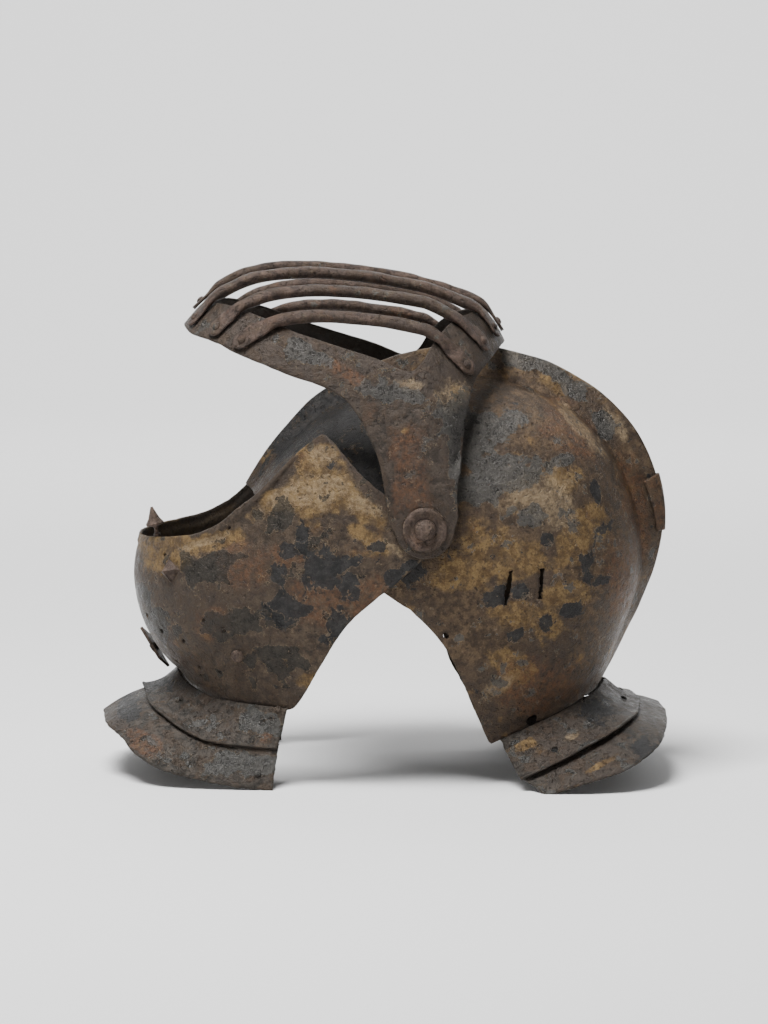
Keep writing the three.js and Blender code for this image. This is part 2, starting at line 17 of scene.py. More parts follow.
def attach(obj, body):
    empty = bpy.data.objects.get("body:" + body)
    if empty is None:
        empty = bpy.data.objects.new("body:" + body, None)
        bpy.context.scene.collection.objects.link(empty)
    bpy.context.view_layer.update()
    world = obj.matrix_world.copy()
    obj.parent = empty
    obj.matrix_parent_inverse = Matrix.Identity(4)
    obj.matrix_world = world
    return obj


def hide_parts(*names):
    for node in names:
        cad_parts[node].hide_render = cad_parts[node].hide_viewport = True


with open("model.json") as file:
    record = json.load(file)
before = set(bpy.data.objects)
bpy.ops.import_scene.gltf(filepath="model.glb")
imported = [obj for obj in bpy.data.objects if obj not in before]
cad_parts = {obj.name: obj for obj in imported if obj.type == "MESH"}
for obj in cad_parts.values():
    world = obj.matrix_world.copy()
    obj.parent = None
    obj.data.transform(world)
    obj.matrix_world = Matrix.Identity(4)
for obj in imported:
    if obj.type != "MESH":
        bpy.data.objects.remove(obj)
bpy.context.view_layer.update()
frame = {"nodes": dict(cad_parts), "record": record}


# Skull
# The skull is one bowl of iron sheet about 2 mm thick, hammered up with a tall hollow comb.
# Its front edge faces the wearer's brow and cheeks, and its lower edge carries the rear lames.

MILLIMETRE = 0.001
PIVOT = Vector((27.0, 0.0, 178.2))
PIVOT_HOLE = 3.4
HEAD_CENTRE = Vector((-20.0, 0.0, -60.0))
PLATE = 2.0
SKULL_HEART = (-10.0, -55.0)
SKULL_BLUNT = 2.4
SKULL_HALF_WIDTH = 99.5
PIVOT_SWELL = 3.0
FRONT_ANGLE = 146.4
COMB_SHARE = 0.3
COMB_HALF_WIDTH = 22.0
COMB_FOOT = 14.0
COMB_BEAD = 0.8
CREST_HALF_THICKNESS = 1.5
NECK_REAR = (125.9, -116.1)
NECK_CORNER = (44.7, -150.2)

MERGE_DISTANCE = 0.02
PIERCE_REACH = 30.0
CALM_RADII = (22, 45)
RIM_CUTS = 2
RIM_SWELL = 0.26

# Length of a dent, height of it
DENT_ROWS = [(46, 0.9), (19, 0.45), (7.5, 0.16)]
# Angle about the heart, radius of the comb's crest
CREST_ROWS = [
    (-64, 156), (-45, 151.5), (-34, 150), (-24, 148), (-18, 150), (-11, 154), (-3, 161.5),
    (6, 172.5), (14, 181.5), (21, 187.5), (29, 192), (37, 194), (47, 192.5), (56, 188.5),
    (63, 184.5), (72, 179.5), (83, 172), (92, 165), (101, 159), (116, 151), (129, 142.5),
    (140, 137.8), (147, 136),
]
# Angle about the heart, height of the comb over the bowl
COMB_ROWS = [
    (-40, 0), (-24, 2), (-12, 4.5), (4, 9.5), (13, 16), (23, 21), (36, 22.5), (60, 20.5),
    (90, 17.5), (120, 12), (147, 5),
]
# Share of the bowl's radius, last angle of the left and of the right cheek
LEFT_CHEEK = [(0, -40), (0.19, -46), (0.35, -52.5), (0.49, -57), (0.7, -60), (1, -62)]
RIGHT_CHEEK = [(0, -44), (0.19, -52), (0.34, -60), (0.42, -63.7), (0.67, -62.4), (1, -62)]


def reading(rows, key):
    """The value at key in a table of (key, value) rows, with smooth steps between its rows."""
    if key <= rows[0][0]:
        return rows[0][1]
    last = len(rows) - 1
    if key >= rows[last][0]:
        return rows[last][1]
    i = bisect_right(rows, key, key=lambda row: row[0]) - 1
    span = rows[i + 1][0] - rows[i][0]
    before, after = max(i - 1, 0), min(i + 2, last)
    lead = (rows[i + 1][1] - rows[before][1]) / (rows[i + 1][0] - rows[before][0]) * span
    trail = (rows[after][1] - rows[i][1]) / (rows[after][0] - rows[i][0]) * span
    t = (key - rows[i][0]) / span
    rest = 1 - t
    return (rows[i][1] * (1 + 2 * t) * rest * rest + lead * t * rest * rest
            + rows[i + 1][1] * t * t * (3 - 2 * t) - trail * t * t * rest)


def eased(low, high, value):
    """Runs smoothly from 0 at low to 1 at high."""
    t = min(max((value - low) / (high - low), 0), 1)
    return t * t * (3 - 2 * t)


def reach(a, blunt):
    """The share of its length that a blunt oval reaches at station a."""
    return max(math.cos(a), 0) ** (2 / blunt)


def spread(a, blunt):
    """The share of its width that a blunt oval reaches at station a."""
    return math.copysign(abs(math.sin(a)) ** (2 / blunt), a)


def bent_sheet(form, along, across, opened=None, upward=False):
    """A grid over the unit square, each corner set on form(u, v), facing up or away from the head.

    Its cells whose middle is opened(u, v) are cut out before it is bent.
    """
    bm = bmesh.new()
    bmesh.ops.create_grid(bm, x_segments=along, y_segments=across, size=0.5)
    if opened:
        middles = {face: face.calc_center_median() for face in bm.faces}
        cut = [face for face, middle in middles.items() if opened(middle.x + 0.5, middle.y + 0.5)]
        bmesh.ops.delete(bm, geom=cut, context="FACES")
    for corner in bm.verts:
        corner.co = form(corner.co.x + 0.5, corner.co.y + 0.5)
    bmesh.ops.remove_doubles(bm, verts=bm.verts, dist=MERGE_DISTANCE)
    bm.normal_update()
    if upward:
        facing = sum(face.normal.z for face in bm.faces)
    else:
        facing = sum(face.normal.dot(face.calc_center_median() - HEAD_CENTRE) for face in bm.faces)
    if facing < 0:
        bmesh.ops.reverse_faces(bm, faces=bm.faces)
        bm.normal_update()
    return bm


def nearest(bm, x, z, side):
    """The corner of a sheet at a side-view place, on the left side (-1) or the right side (1)."""
    there = [corner for corner in bm.verts if corner.co.y * side > 0]
    return min(there, key=lambda corner: math.hypot(corner.co.x - x, corner.co.z - z))


def pierced(bm, x, z, side, half_width, half_height=None, lean=0.0, rough=0.0):
    """Opens a round hole, or a slot if it has a height, at a side-view place.

    The corners that lie in it go, and those round it are drawn onto its outline.
    """
    middle = nearest(bm, x, z, side)
    centre = Vector((x, middle.co.y, z))
    tilt = math.radians(lean)
    normal = middle.normal
    up = Vector((math.sin(tilt), 0, math.cos(tilt)))
    up = (up - normal * up.dot(normal)).normalized()
    across = normal.cross(up)

    def local(corner):
        return Vector(((corner.co - centre).dot(across), (corner.co - centre).dot(up)))

    def drawn(place):
        if half_height is None:
            return place.normalized() * half_width
        width = half_width * (1 + rough * noise.noise(Vector((x, 0, z + place.y * 0.45))))
        return Vector((max(min(place.x, width), -width), max(min(place.y, half_height), -half_height)))

    def within(place):
        return place.length < half_width if half_height is None else drawn(place) == place

    gone = {middle}
    for corner in bm.verts:
        close = corner.co.y * side > 0 and (corner.co - centre).length < PIERCE_REACH
        if close and within(local(corner)):
            gone.add(corner)
    ring = {v for corner in gone for face in corner.link_faces for v in face.verts} - gone
    for corner in ring:
        place = local(corner)
        shift = drawn(place) - place
        corner.co += across * shift.x + up * shift.y
    bmesh.ops.delete(bm, geom=list(gone), context="VERTS")


def bored_for_pivots(bm):
    for side in (-1, 1):
        pierced(bm, 0, 0, side, PIVOT_HOLE)


def weathered(bm, dents, chips, lift=0.0):
    """Works dents into a sheet and eats its edges, less so near the side pivots."""
    bm.normal_update()
    for corner in bm.verts:
        place = corner.co
        calm = eased(*CALM_RADII, math.hypot(place.x, place.z))
        swell = sum(noise.noise(place / length) * height for length, height in DENT_ROWS)
        corner.co = place + corner.normal * (swell * dents * calm + lift)
    rim = {corner: corner.co.copy() for corner in bm.verts if corner.is_boundary}
    for corner, place in rim.items():
        inner = [edge.other_vert(corner) for edge in corner.link_edges]
        inner = [other.co for other in inner if other not in rim]
        if not inner:
            continue
        inward = sum(inner, Vector()) / len(inner) - place
        # An even loss with small chips, and a few deep bites
        bite = 0.5 + 0.5 * noise.noise(place / 5) + 0.6 * max(noise.noise(place / 2.3), 0)
        bite += 1.6 * max(noise.noise(place / 13 + Vector((7, 3, 1))) - 0.35, 0)
        corner.co = place + inward.normalized() * min(bite * chips, inward.length * 0.8)


def walled(bm, wall, keep_side=0.0):
    """Gives a sheet its wall on the inside, and rounds the rim as wear does.

    Within keep_side of the middle plane the wall stops at that plane, as in the hollow comb.
    """
    # The inside attribute marks the inner wall and the rounded rim. The finish darkens them as painted
    # shade.
    inside = bm.verts.layers.float.new("inside")
    outer = set(bm.faces)
    made = bmesh.ops.solidify(bm, geom=bm.faces[:], thickness=wall)["geom"]
    within = {item for item in made if isinstance(item, bmesh.types.BMVert)}
    for corner in within:
        corner[inside] = 1.0
        if keep_side and abs(corner.co.y) < keep_side:
            partner = min((e.other_vert(corner) for e in corner.link_edges), key=lambda v: v in within)
            side = math.copysign(1, partner.co.y) if partner not in within else 0
            if side and corner.co.y * side < 0:
                corner.co.y = 0
    cross = [edge for edge in bm.edges if (edge.verts[0] in within) != (edge.verts[1] in within)]
    ends = {}
    for edge in cross:
        one, two = edge.verts
        ends[edge] = (two, one) if one in within else (one, two)
    away = {}
    bm.normal_update()
    for edge in cross:
        rim_faces = [face for face in edge.link_faces if face not in outer]
        away[edge] = sum((face.normal for face in rim_faces), Vector()).normalized()
    places = [(ends[e][0].co.copy(), ends[e][1].co.copy(), away[e]) for e in cross]
    split = bmesh.ops.subdivide_edges(bm, edges=cross, cuts=RIM_CUTS, use_grid_fill=True)
    fresh = [item for item in split["geom_inner"] if isinstance(item, bmesh.types.BMVert)]
    lookup = {}
    for start, end, direction in places:
        for step in range(1, RIM_CUTS + 1):
            t = step / (RIM_CUTS + 1)
            lookup[tuple(round(c, 3) for c in start.lerp(end, t))] = (t, direction)
    for corner in fresh:
        found = lookup.get(tuple(round(c, 3) for c in corner.co))
        if found:
            t, direction = found
            corner[inside] = t
            corner.co += direction * wall * RIM_SWELL * math.sqrt(1 - (2 * t - 1) ** 2)
    return bm


def shown(name, data):
    """Puts a mesh, a lamp or a camera in the scene under its name."""
    thing = bpy.data.objects.new(name, data)
    bpy.context.scene.collection.objects.link(thing)
    return thing


def finished(bm, name, body, material, *nodes):
    """Moves a mesh from the helmet's tables to metres in the frame and makes it a piece."""
    bmesh.ops.translate(bm, verts=bm.verts, vec=PIVOT)
    bmesh.ops.scale(bm, verts=bm.verts, vec=Vector((1, 1, 1)) * MILLIMETRE)
    mesh = bpy.data.meshes.new(name)
    bm.to_mesh(mesh)
    bm.free()
    mesh.shade_smooth()
    mesh.materials.append(material)
    piece = shown(name, mesh)
    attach(piece, body)
    if nodes:
        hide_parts(*nodes)
    return piece


def comb_rise(y):
    flank = (abs(y) - CREST_HALF_THICKNESS) / (COMB_FOOT - CREST_HALF_THICKNESS)
    return 0 if flank >= 1 else (1 - max(flank, 0)) ** 1.08


def skull_point(angle, y):
    comb = reading(COMB_ROWS, angle)
    bowl = reading(CREST_ROWS, angle) - comb
    share = min(abs(y) / SKULL_HALF_WIDTH, 1)
    r = bowl * (1 - share**SKULL_BLUNT) ** (1 / SKULL_BLUNT) + comb * comb_rise(y)
    r += COMB_BEAD * min(comb / 8, 1) * math.exp(-(((abs(y) - COMB_FOOT - 1.5) / 2.2) ** 2))
    x = SKULL_HEART[0] + r * math.cos(math.radians(angle))
    z = SKULL_HEART[1] + r * math.sin(math.radians(angle))
    swell = PIVOT_SWELL * (1 - eased(20, 70, math.hypot(x, z)))
    return Vector((x, y + (math.copysign(swell, y) if abs(y) > 60 else 0), z))


def skull_width_at(side):
    k = abs(side) / COMB_SHARE
    if k <= 1:
        return math.copysign(COMB_HALF_WIDTH * k**1.5, side)
    start = math.asin((COMB_HALF_WIDTH / SKULL_HALF_WIDTH) ** (SKULL_BLUNT / 2))
    a = start + (math.pi / 2 - start) * (abs(side) - COMB_SHARE) / (1 - COMB_SHARE)
    return math.copysign(SKULL_HALF_WIDTH * spread(a, SKULL_BLUNT), side)


def below_neck(point):
    slope = (NECK_REAR[1] - NECK_CORNER[1]) / (NECK_REAR[0] - NECK_CORNER[0])
    return point.z - NECK_CORNER[1] < slope * (point.x - NECK_CORNER[0])


def neck_angle(y):
    """The angle about the heart at which the bowl reaches the plane of its neck edge."""
    low, high = -70.0, 0.0
    for _ in range(24):
        middle = (low + high) / 2
        if below_neck(skull_point(middle, y)):
            low = middle
        else:
            high = middle
    return high


@lru_cache(maxsize=None)
def skull_column(side):
    y = skull_width_at(side)
    share = (1 - (min(abs(y) / SKULL_HALF_WIDTH, 1)) ** SKULL_BLUNT) ** (1 / SKULL_BLUNT)
    return y, max(reading(RIGHT_CHEEK if y > 0 else LEFT_CHEEK, share), neck_angle(y))


def skull_form(u, v):
    y, last = skull_column(round(2 * u - 1, 6))
    return skull_point(FRONT_ANGLE + (last - FRONT_ANGLE) * v, y)


class Nodes:
    """Builds one node tree: add a node, set its values, and link what feeds it."""

    def __init__(self, tree):
        self.tree = tree

    def add(self, kind, settings=None, **inputs):
        node = self.tree.nodes.new(kind)
        for name, value in (settings or {}).items():
            setattr(node, name, value)
        for name, value in inputs.items():
            self.feed(node.inputs[int(name[1:]) if name[1:].isdigit() else name.replace("_", " ")], value)
        return node

    def feed(self, socket, value):
        if isinstance(value, bpy.types.NodeSocket):
            self.tree.links.new(value, socket)
        elif isinstance(value, bpy.types.Node):
            self.tree.links.new(value.outputs[0], socket)
        elif isinstance(value, tuple) and len(value) == 3 and socket.type == "RGBA":
            socket.default_value = (*value, 1)
        else:
            socket.default_value = value

    def math(self, operation, one, two=0.0, three=0.0, clamp=False):
        return self.add("ShaderNodeMath", {"operation": operation, "use_clamp": clamp},
                        i0=one, i1=two, i2=three).outputs[0]

    def ramp(self, value, low, high, to_low=0.0, to_high=1.0):
        return self.add("ShaderNodeMapRange", {"interpolation_type": "SMOOTHSTEP"}, Value=value,
                        From_Min=low, From_Max=high, To_Min=to_low, To_Max=to_high).outputs[0]

    def noise(self, place, scale, detail=4.0, roughness=0.6, distortion=0.0):
        return self.add("ShaderNodeTexNoise", {"noise_dimensions": "3D"}, Vector=place, Scale=scale,
                        Detail=detail, Roughness=roughness, Distortion=distortion).outputs["Fac"]

    def blend(self, amount, under, over, mode="MIX"):
        node = self.add("ShaderNodeMix", {"data_type": "RGBA", "blend_type": mode, "clamp_result": True})
        self.feed(node.inputs["Factor"], amount)
        self.feed([i for i in node.inputs if i.name == "A" and i.type == "RGBA"][0], under)
        self.feed([i for i in node.inputs if i.name == "B" and i.type == "RGBA"][0], over)
        return [o for o in node.outputs if o.type == "RGBA"][0]


def patina_group():
    """Old iron: a brown ground with ochre, slate and black layers, scoured tan, rust and pits, and painted
    shade darkening the inner walls.

    The layer inputs are amounts that pass one half at a stain's edge; noise makes the edge ragged.
    """
    tree = bpy.data.node_groups.new("old iron patina", "ShaderNodeTree")
    face = tree.interface
    for name, value in (("Ground", (0.05, 0.035, 0.025)), ("Ground light", (0.12, 0.085, 0.055)),
                        ("Slate light", (0.075, 0.074, 0.07))):
        face.new_socket(name, in_out="INPUT", socket_type="NodeSocketColor").default_value = (*value, 1)
    for name, value in (("Ochre", 0.0), ("Slate", 0.0), ("Black", 0.0), ("Scoured", 0.0),
                        ("Rust", 0.0), ("Inside", 0.0), ("Seed", 0.0), ("Lines", 1.0)):
        face.new_socket(name, in_out="INPUT", socket_type="NodeSocketFloat").default_value = value
    face.new_socket("Color", in_out="OUTPUT", socket_type="NodeSocketColor")
    for name in ("Roughness", "Metallic", "Height"):
        face.new_socket(name, in_out="OUTPUT", socket_type="NodeSocketFloat")
    n = Nodes(tree)
    given = n.add("NodeGroupInput").outputs
    out = n.add("NodeGroupOutput").inputs
    metres = n.add("ShaderNodeTexCoord").outputs["Object"]
    millimetres = n.add("ShaderNodeVectorMath", {"operation": "SCALE"}, i0=metres, Scale=1 / MILLIMETRE)
    place = n.add("ShaderNodeVectorMath", {"operation": "ADD"}, i0=millimetres, i1=given["Seed"]).outputs[0]

    ragged = n.noise(place, 0.055, 7.0, 0.62)
    shifted = n.add("ShaderNodeVectorMath", {"operation": "ADD"}, i0=place, i1=(91.0, 33.0, 57.0))
    second = n.noise(shifted, 0.075, 7.0, 0.62)
    flakes = n.noise(shifted, 0.1, 8.0, 0.64, 0.5)
    broad = n.noise(place, 0.016, 3.0, 0.5)
    mottle = n.noise(place, 0.16, 7.0, 0.7)
    cloud = n.noise(shifted, 0.3, 6.0, 0.72)
    grain = n.noise(place, 0.85, 5.0, 0.72)
    speck = n.noise(place, 0.42, 2.0, 0.5)

    def edge(amount, wander, gain):
        return n.math("MULTIPLY_ADD", n.math("SUBTRACT", wander, 0.5), gain, amount)

    def line(level, width):
        away = n.math("ABSOLUTE", n.math("SUBTRACT", level, 0.5))
        return n.ramp(away, 0.0, width, 1.0, 0.0)

    def laid(under, mask, strength, tone):
        return n.blend(n.math("MULTIPLY", mask, strength), under, tone)

    ground = n.blend(n.ramp(mottle, 0.41, 0.6), given["Ground"], given["Ground light"])
    ground = n.blend(n.ramp(broad, 0.4, 0.62, 0.0, 0.6), ground, (0.045, 0.034, 0.027))

    ochre_level = edge(given["Ochre"], ragged, 1.5)
    ochre = n.ramp(ochre_level, 0.42, 0.62)
    ochre_tone = n.blend(n.ramp(mottle, 0.38, 0.62), (0.085, 0.051, 0.021), (0.2, 0.13, 0.055))
    colour = laid(ground, ochre, 0.85, ochre_tone)

    scales = n.ramp(flakes, 0.52, 0.545)
    colour = laid(colour, scales, 0.5, (0.052, 0.035, 0.023))

    rust = n.math("MULTIPLY", n.ramp(edge(given["Rust"], ragged, 1.3), 0.4, 0.7), n.ramp(cloud, 0.35, 0.65))
    colour = laid(colour, rust, 0.6, (0.125, 0.056, 0.026))

    scoured = n.math("MULTIPLY", n.ramp(edge(given["Scoured"], second, 1.5), 0.38, 0.85),
                     n.ramp(cloud, 0.36, 0.62, 0.25, 1.0))
    colour = laid(colour, scoured, 0.72, (0.27, 0.2, 0.12))

    slate_level = edge(given["Slate"], second, 2.1)
    slate = n.ramp(slate_level, 0.49, 0.52)
    slate_dark = n.blend(1.0, given["Slate light"], (0.6, 0.6, 0.6), "MULTIPLY")
    slate_tone = n.blend(n.ramp(mottle, 0.32, 0.7), slate_dark, given["Slate light"])
    colour = laid(colour, slate, 0.8, slate_tone)
    slate_line = n.math("MULTIPLY", line(slate_level, 0.022), n.ramp(cloud, 0.42, 0.52))

    black_level = edge(given["Black"], flakes, 1.7)
    black = n.ramp(black_level, 0.49, 0.51)
    black_tone = n.blend(n.ramp(mottle, 0.35, 0.7), (0.013, 0.013, 0.0135), (0.034, 0.034, 0.034))
    colour = laid(colour, black, 0.92, black_tone)
    black_line = n.math("MULTIPLY", line(black_level, 0.035), n.ramp(cloud, 0.46, 0.58))
    lines = n.math("MULTIPLY", n.math("MAXIMUM", slate_line, black_line), given["Lines"], clamp=True)
    colour = laid(colour, lines, 0.5, (0.26, 0.185, 0.11))

    pits = n.ramp(speck, 0.61, 0.7)
    pit_shade = n.math("MULTIPLY", pits, n.math("MULTIPLY_ADD", slate, -0.48, 0.6))
    colour = n.blend(pit_shade, colour, (0.02, 0.015, 0.012))
    bright = n.math("MULTIPLY", n.ramp(grain, 0.6, 0.74), n.ramp(mottle, 0.5, 0.62))
    colour = laid(colour, bright, 0.35, (0.3, 0.22, 0.14))
    # Painted shade: the inner walls, marked by the inside attribute, are darkened nearly black
    colour = laid(colour, given["Inside"], 0.8, (0.02, 0.0145, 0.01))
    colour = n.blend(1.0, colour, n.ramp(grain, 0.2, 0.8, 0.66, 1.3), "MULTIPLY")

    rough = n.ramp(mottle, 0.35, 0.65, 0.34, 0.56)
    rough = n.math("SUBTRACT", rough, n.math("MULTIPLY", slate, 0.1))
    rough = n.math("ADD", rough, n.math("MULTIPLY", given["Inside"], 0.35))
    metal = n.math("MULTIPLY_ADD", slate, 0.2, 0.45)
    metal = n.math("MULTIPLY", metal, n.math("MULTIPLY_ADD", given["Inside"], -0.8, 1.0))

    height = n.math("MULTIPLY_ADD", mottle, 0.8, n.math("MULTIPLY", grain, 0.35))
    for layer, rise in ((cloud, 0.35), (slate, 0.14), (scales, 0.07), (lines, 0.12)):
        height = n.math("ADD", height, n.math("MULTIPLY", layer, rise))
    for layer, depth in ((black, 0.1), (pits, 0.5)):
        height = n.math("SUBTRACT", height, n.math("MULTIPLY", layer, depth))
    n.feed(out["Color"], colour)
    n.feed(out["Roughness"], rough)
    n.feed(out["Metallic"], metal)
    n.feed(out["Height"], height)
    return tree


PATINA = patina_group()
LAYERS = ("Ochre", "Slate", "Black", "Scoured", "Rust")
SLATE_GREY = (0.075, 0.074, 0.07)
BUMP_DEPTH = 0.0022


def iron(name, ground, light, seed, even=None, slate=SLATE_GREY, lines=1.0):
    """A finish of the old iron, with its layers at even amounts or else painted on the mesh."""
    material = bpy.data.materials.new(name)
    material.use_nodes = True
    n = Nodes(material.node_tree)
    shader = material.node_tree.nodes["Principled BSDF"]
    group = n.add("ShaderNodeGroup", {"node_tree": PATINA}, Ground=ground, Seed=float(seed), Lines=lines)
    n.feed(group.inputs["Ground light"], light)
    n.feed(group.inputs["Slate light"], slate)
    if even:
        for layer, amount in zip(LAYERS, even):
            group.inputs[layer].default_value = amount
    else:
        # Inside carries the painted shade of the inner walls
        for layer in (*LAYERS, "Inside"):
            painted = n.add("ShaderNodeAttribute", {"attribute_name": layer.lower()})
            n.feed(group.inputs[layer], painted.outputs["Fac"])
    raised = n.add("ShaderNodeBump", Strength=0.8, Distance=BUMP_DEPTH, Height=group.outputs["Height"])
    shader.inputs["Specular IOR Level"].default_value = 0.28
    for name_in, name_out in (("Base Color", "Color"), ("Roughness", "Roughness"), ("Metallic", "Metallic")):
        n.feed(shader.inputs[name_in], group.outputs[name_out])
    n.feed(shader.inputs["Normal"], raised)
    return material


STAIN_REACH = 90


def stained(bm, base, stains):
    """Paints the layers of a mesh: base amounts, then stains, each given as the rows below give it."""
    layers = {name: bm.verts.layers.float.new(name.lower()) for name in LAYERS}
    marks = []
    for layer, x, z, half_length, half_height, turn in stains:
        marks.append((layer, x, z, half_length, half_height, math.radians(turn)))
    for corner in bm.verts:
        amounts = dict(zip(LAYERS, base))
        place = corner.co
        for layer, x, z, half_length, half_height, turn in marks:
            dx, dz = place.x - x, place.z - z
            if max(abs(dx), abs(dz)) > STAIN_REACH:
                continue
            along = (dx * math.cos(turn) + dz * math.sin(turn)) / half_length
            up = (dz * math.cos(turn) - dx * math.sin(turn)) / half_height
            amounts[layer] = max(amounts[layer], 1 - math.hypot(along, up) / 2)
        for name, layer in layers.items():
            corner[layer] = amounts[name]


skull_finish = iron("skull iron", (0.038, 0.026, 0.017), (0.1, 0.067, 0.04), 0)

# Layer, x, z, half length, half height, turn
SKULL_STAINS = [
    ("Slate", 49, 65, 18, 13, 10), ("Slate", 49, 38, 28, 15, 0), ("Slate", 33, 54, 10, 22, 0),
    # The scoured streaks on the comb's back, at x 100 and 136, are worn tan that also stands in for a
    # painted highlight along it
    ("Scoured", 88, 16, 16, 22, 0), ("Scoured", 100, 104, 28, 6, -35), ("Scoured", 136, 60, 18, 5, -60),
    ("Slate", 38, 24, 18, 8, 0), ("Slate", 95, 43, 7, 4, 0), ("Slate", 68, 7, 14, 7, 0),
    ("Slate", 70, 108, 22, 9, -14), ("Slate", 102, 90, 20, 7, -42), ("Slate", 125, 62, 14, 6, -62),
    ("Black", 82, -9, 5, 4, 20), ("Black", 111, -26, 5, 7, 0), ("Black", 111, -36, 5, 3, 0),
    ("Black", 122, -5, 4, 3, 0), ("Black", 49, -46, 9, 7, 0), ("Black", 64, -43, 6, 6, 0),
    ("Black", 121, -40, 6, 5, 0), ("Black", -10, -27, 10, 10, 0), ("Black", 100, -58, 7, 5, 0),
    ("Black", 62, -74, 7, 4, 20), ("Black", 117, 20, 3, 8, 10), ("Black", 84, -66, 6, 5, 0),
    ("Ochre", 50, -20, 34, 16, 0), ("Ochre", 24, -31, 20, 14, 0), ("Ochre", 98, 30, 13, 10, 0),
    ("Ochre", 98, -11, 18, 14, 0), ("Ochre", 115, 0, 11, 20, 0), ("Ochre", 70, -62, 26, 10, -20),
    ("Ochre", 96, -46, 18, 9, 0), ("Ochre", 60, -95, 22, 9, -30), ("Ochre", 88, 92, 12, 5, -30),
    ("Scoured", 70, 20, 22, 14, 0), ("Scoured", 88, 18, 12, 12, 0), ("Scoured", 108, 62, 30, 5, -48),
    ("Scoured", 60, 112, 12, 6, -10), ("Rust", 100, 60, 24, 16, -45), ("Rust", 75, -110, 30, 20, 0),
    # The three black patches at the brow are partly its dark slate and partly a painted shadow of the visor
    # arm above it
    ("Black", -52, 68, 34, 26, 40), ("Black", -38, 40, 14, 30, 0), ("Black", -88, 66, 36, 20, 52),
    ("Ochre", -110, 43, 7, 8, 0), ("Rust", 135, -40, 14, 30, 0), ("Rust", 147, 10, 10, 40, 10),
    ("Scoured", 52, -108, 14, 5, 30),
]
# x, z, half width, half height, lean
SKULL_SLOTS = [(56.3, -41, 1.5, 12, 9), (78.8, -39, 1.5, 10.5, 4)]
# x, z, radius
SKULL_HOLES = [(14.5, -73, 2.2), (73.5, -134.5, 4.4)]

skull = bent_sheet(skull_form, 200, 230)
for x, z, half_width, half_height, lean in SKULL_SLOTS:
    pierced(skull, x, z, -1, half_width, half_height, lean, rough=0.7)
for x, z, radius in SKULL_HOLES:
    pierced(skull, x, z, -1, radius)
bored_for_pivots(skull)
weathered(skull, dents=0.8, chips=0.7, lift=0.9)
walled(skull, PLATE, COMB_HALF_WIDTH)
stained(skull, (0.32, 0.28, 0.25, 0.3, 0.3), SKULL_STAINS)
finished(skull, "skull_shell", "skull_body", skull_finish, "skull")


# Comb clip
# A short strap of thin iron bent over the back of the comb, a little clear of it.
# It is what is left of the holder of a crest, and it narrows towards its foot.

CLIP_TOP, CLIP_FOOT = 25.5, 14
CLIP_HALF_WIDTH = 7
CLIP_TAPER = 0.35
CLIP_WALL = 1.6
CLIP_STAND = 3.4


def clip_form(u, v):
    angle = CLIP_TOP + (CLIP_FOOT - CLIP_TOP) * v
    y = (2 * u - 1) * CLIP_HALF_WIDTH * (1 - CLIP_TAPER * v)
    point = skull_point(angle, y)
    along = skull_point(angle - 0.5, y) - skull_point(angle + 0.5, y)
    across = skull_point(angle, y + 0.8) - skull_point(angle, y - 0.8)
    return point + along.cross(across).normalized() * CLIP_STAND


clip = bent_sheet(clip_form, 16, 24)
walled(clip, CLIP_WALL)
stained(clip, (0.3, 0.1, 0.1, 0.2, 0.6), [])
finished(clip, "comb_strap", "skull_body", skull_finish, "comb_clip")


# Bevor
# The bevor is the chin piece, one plate bent round the jaw and hung on both side pivots.
# A narrow band is raised along its mouth edge, and breath holes are punched in its left side.

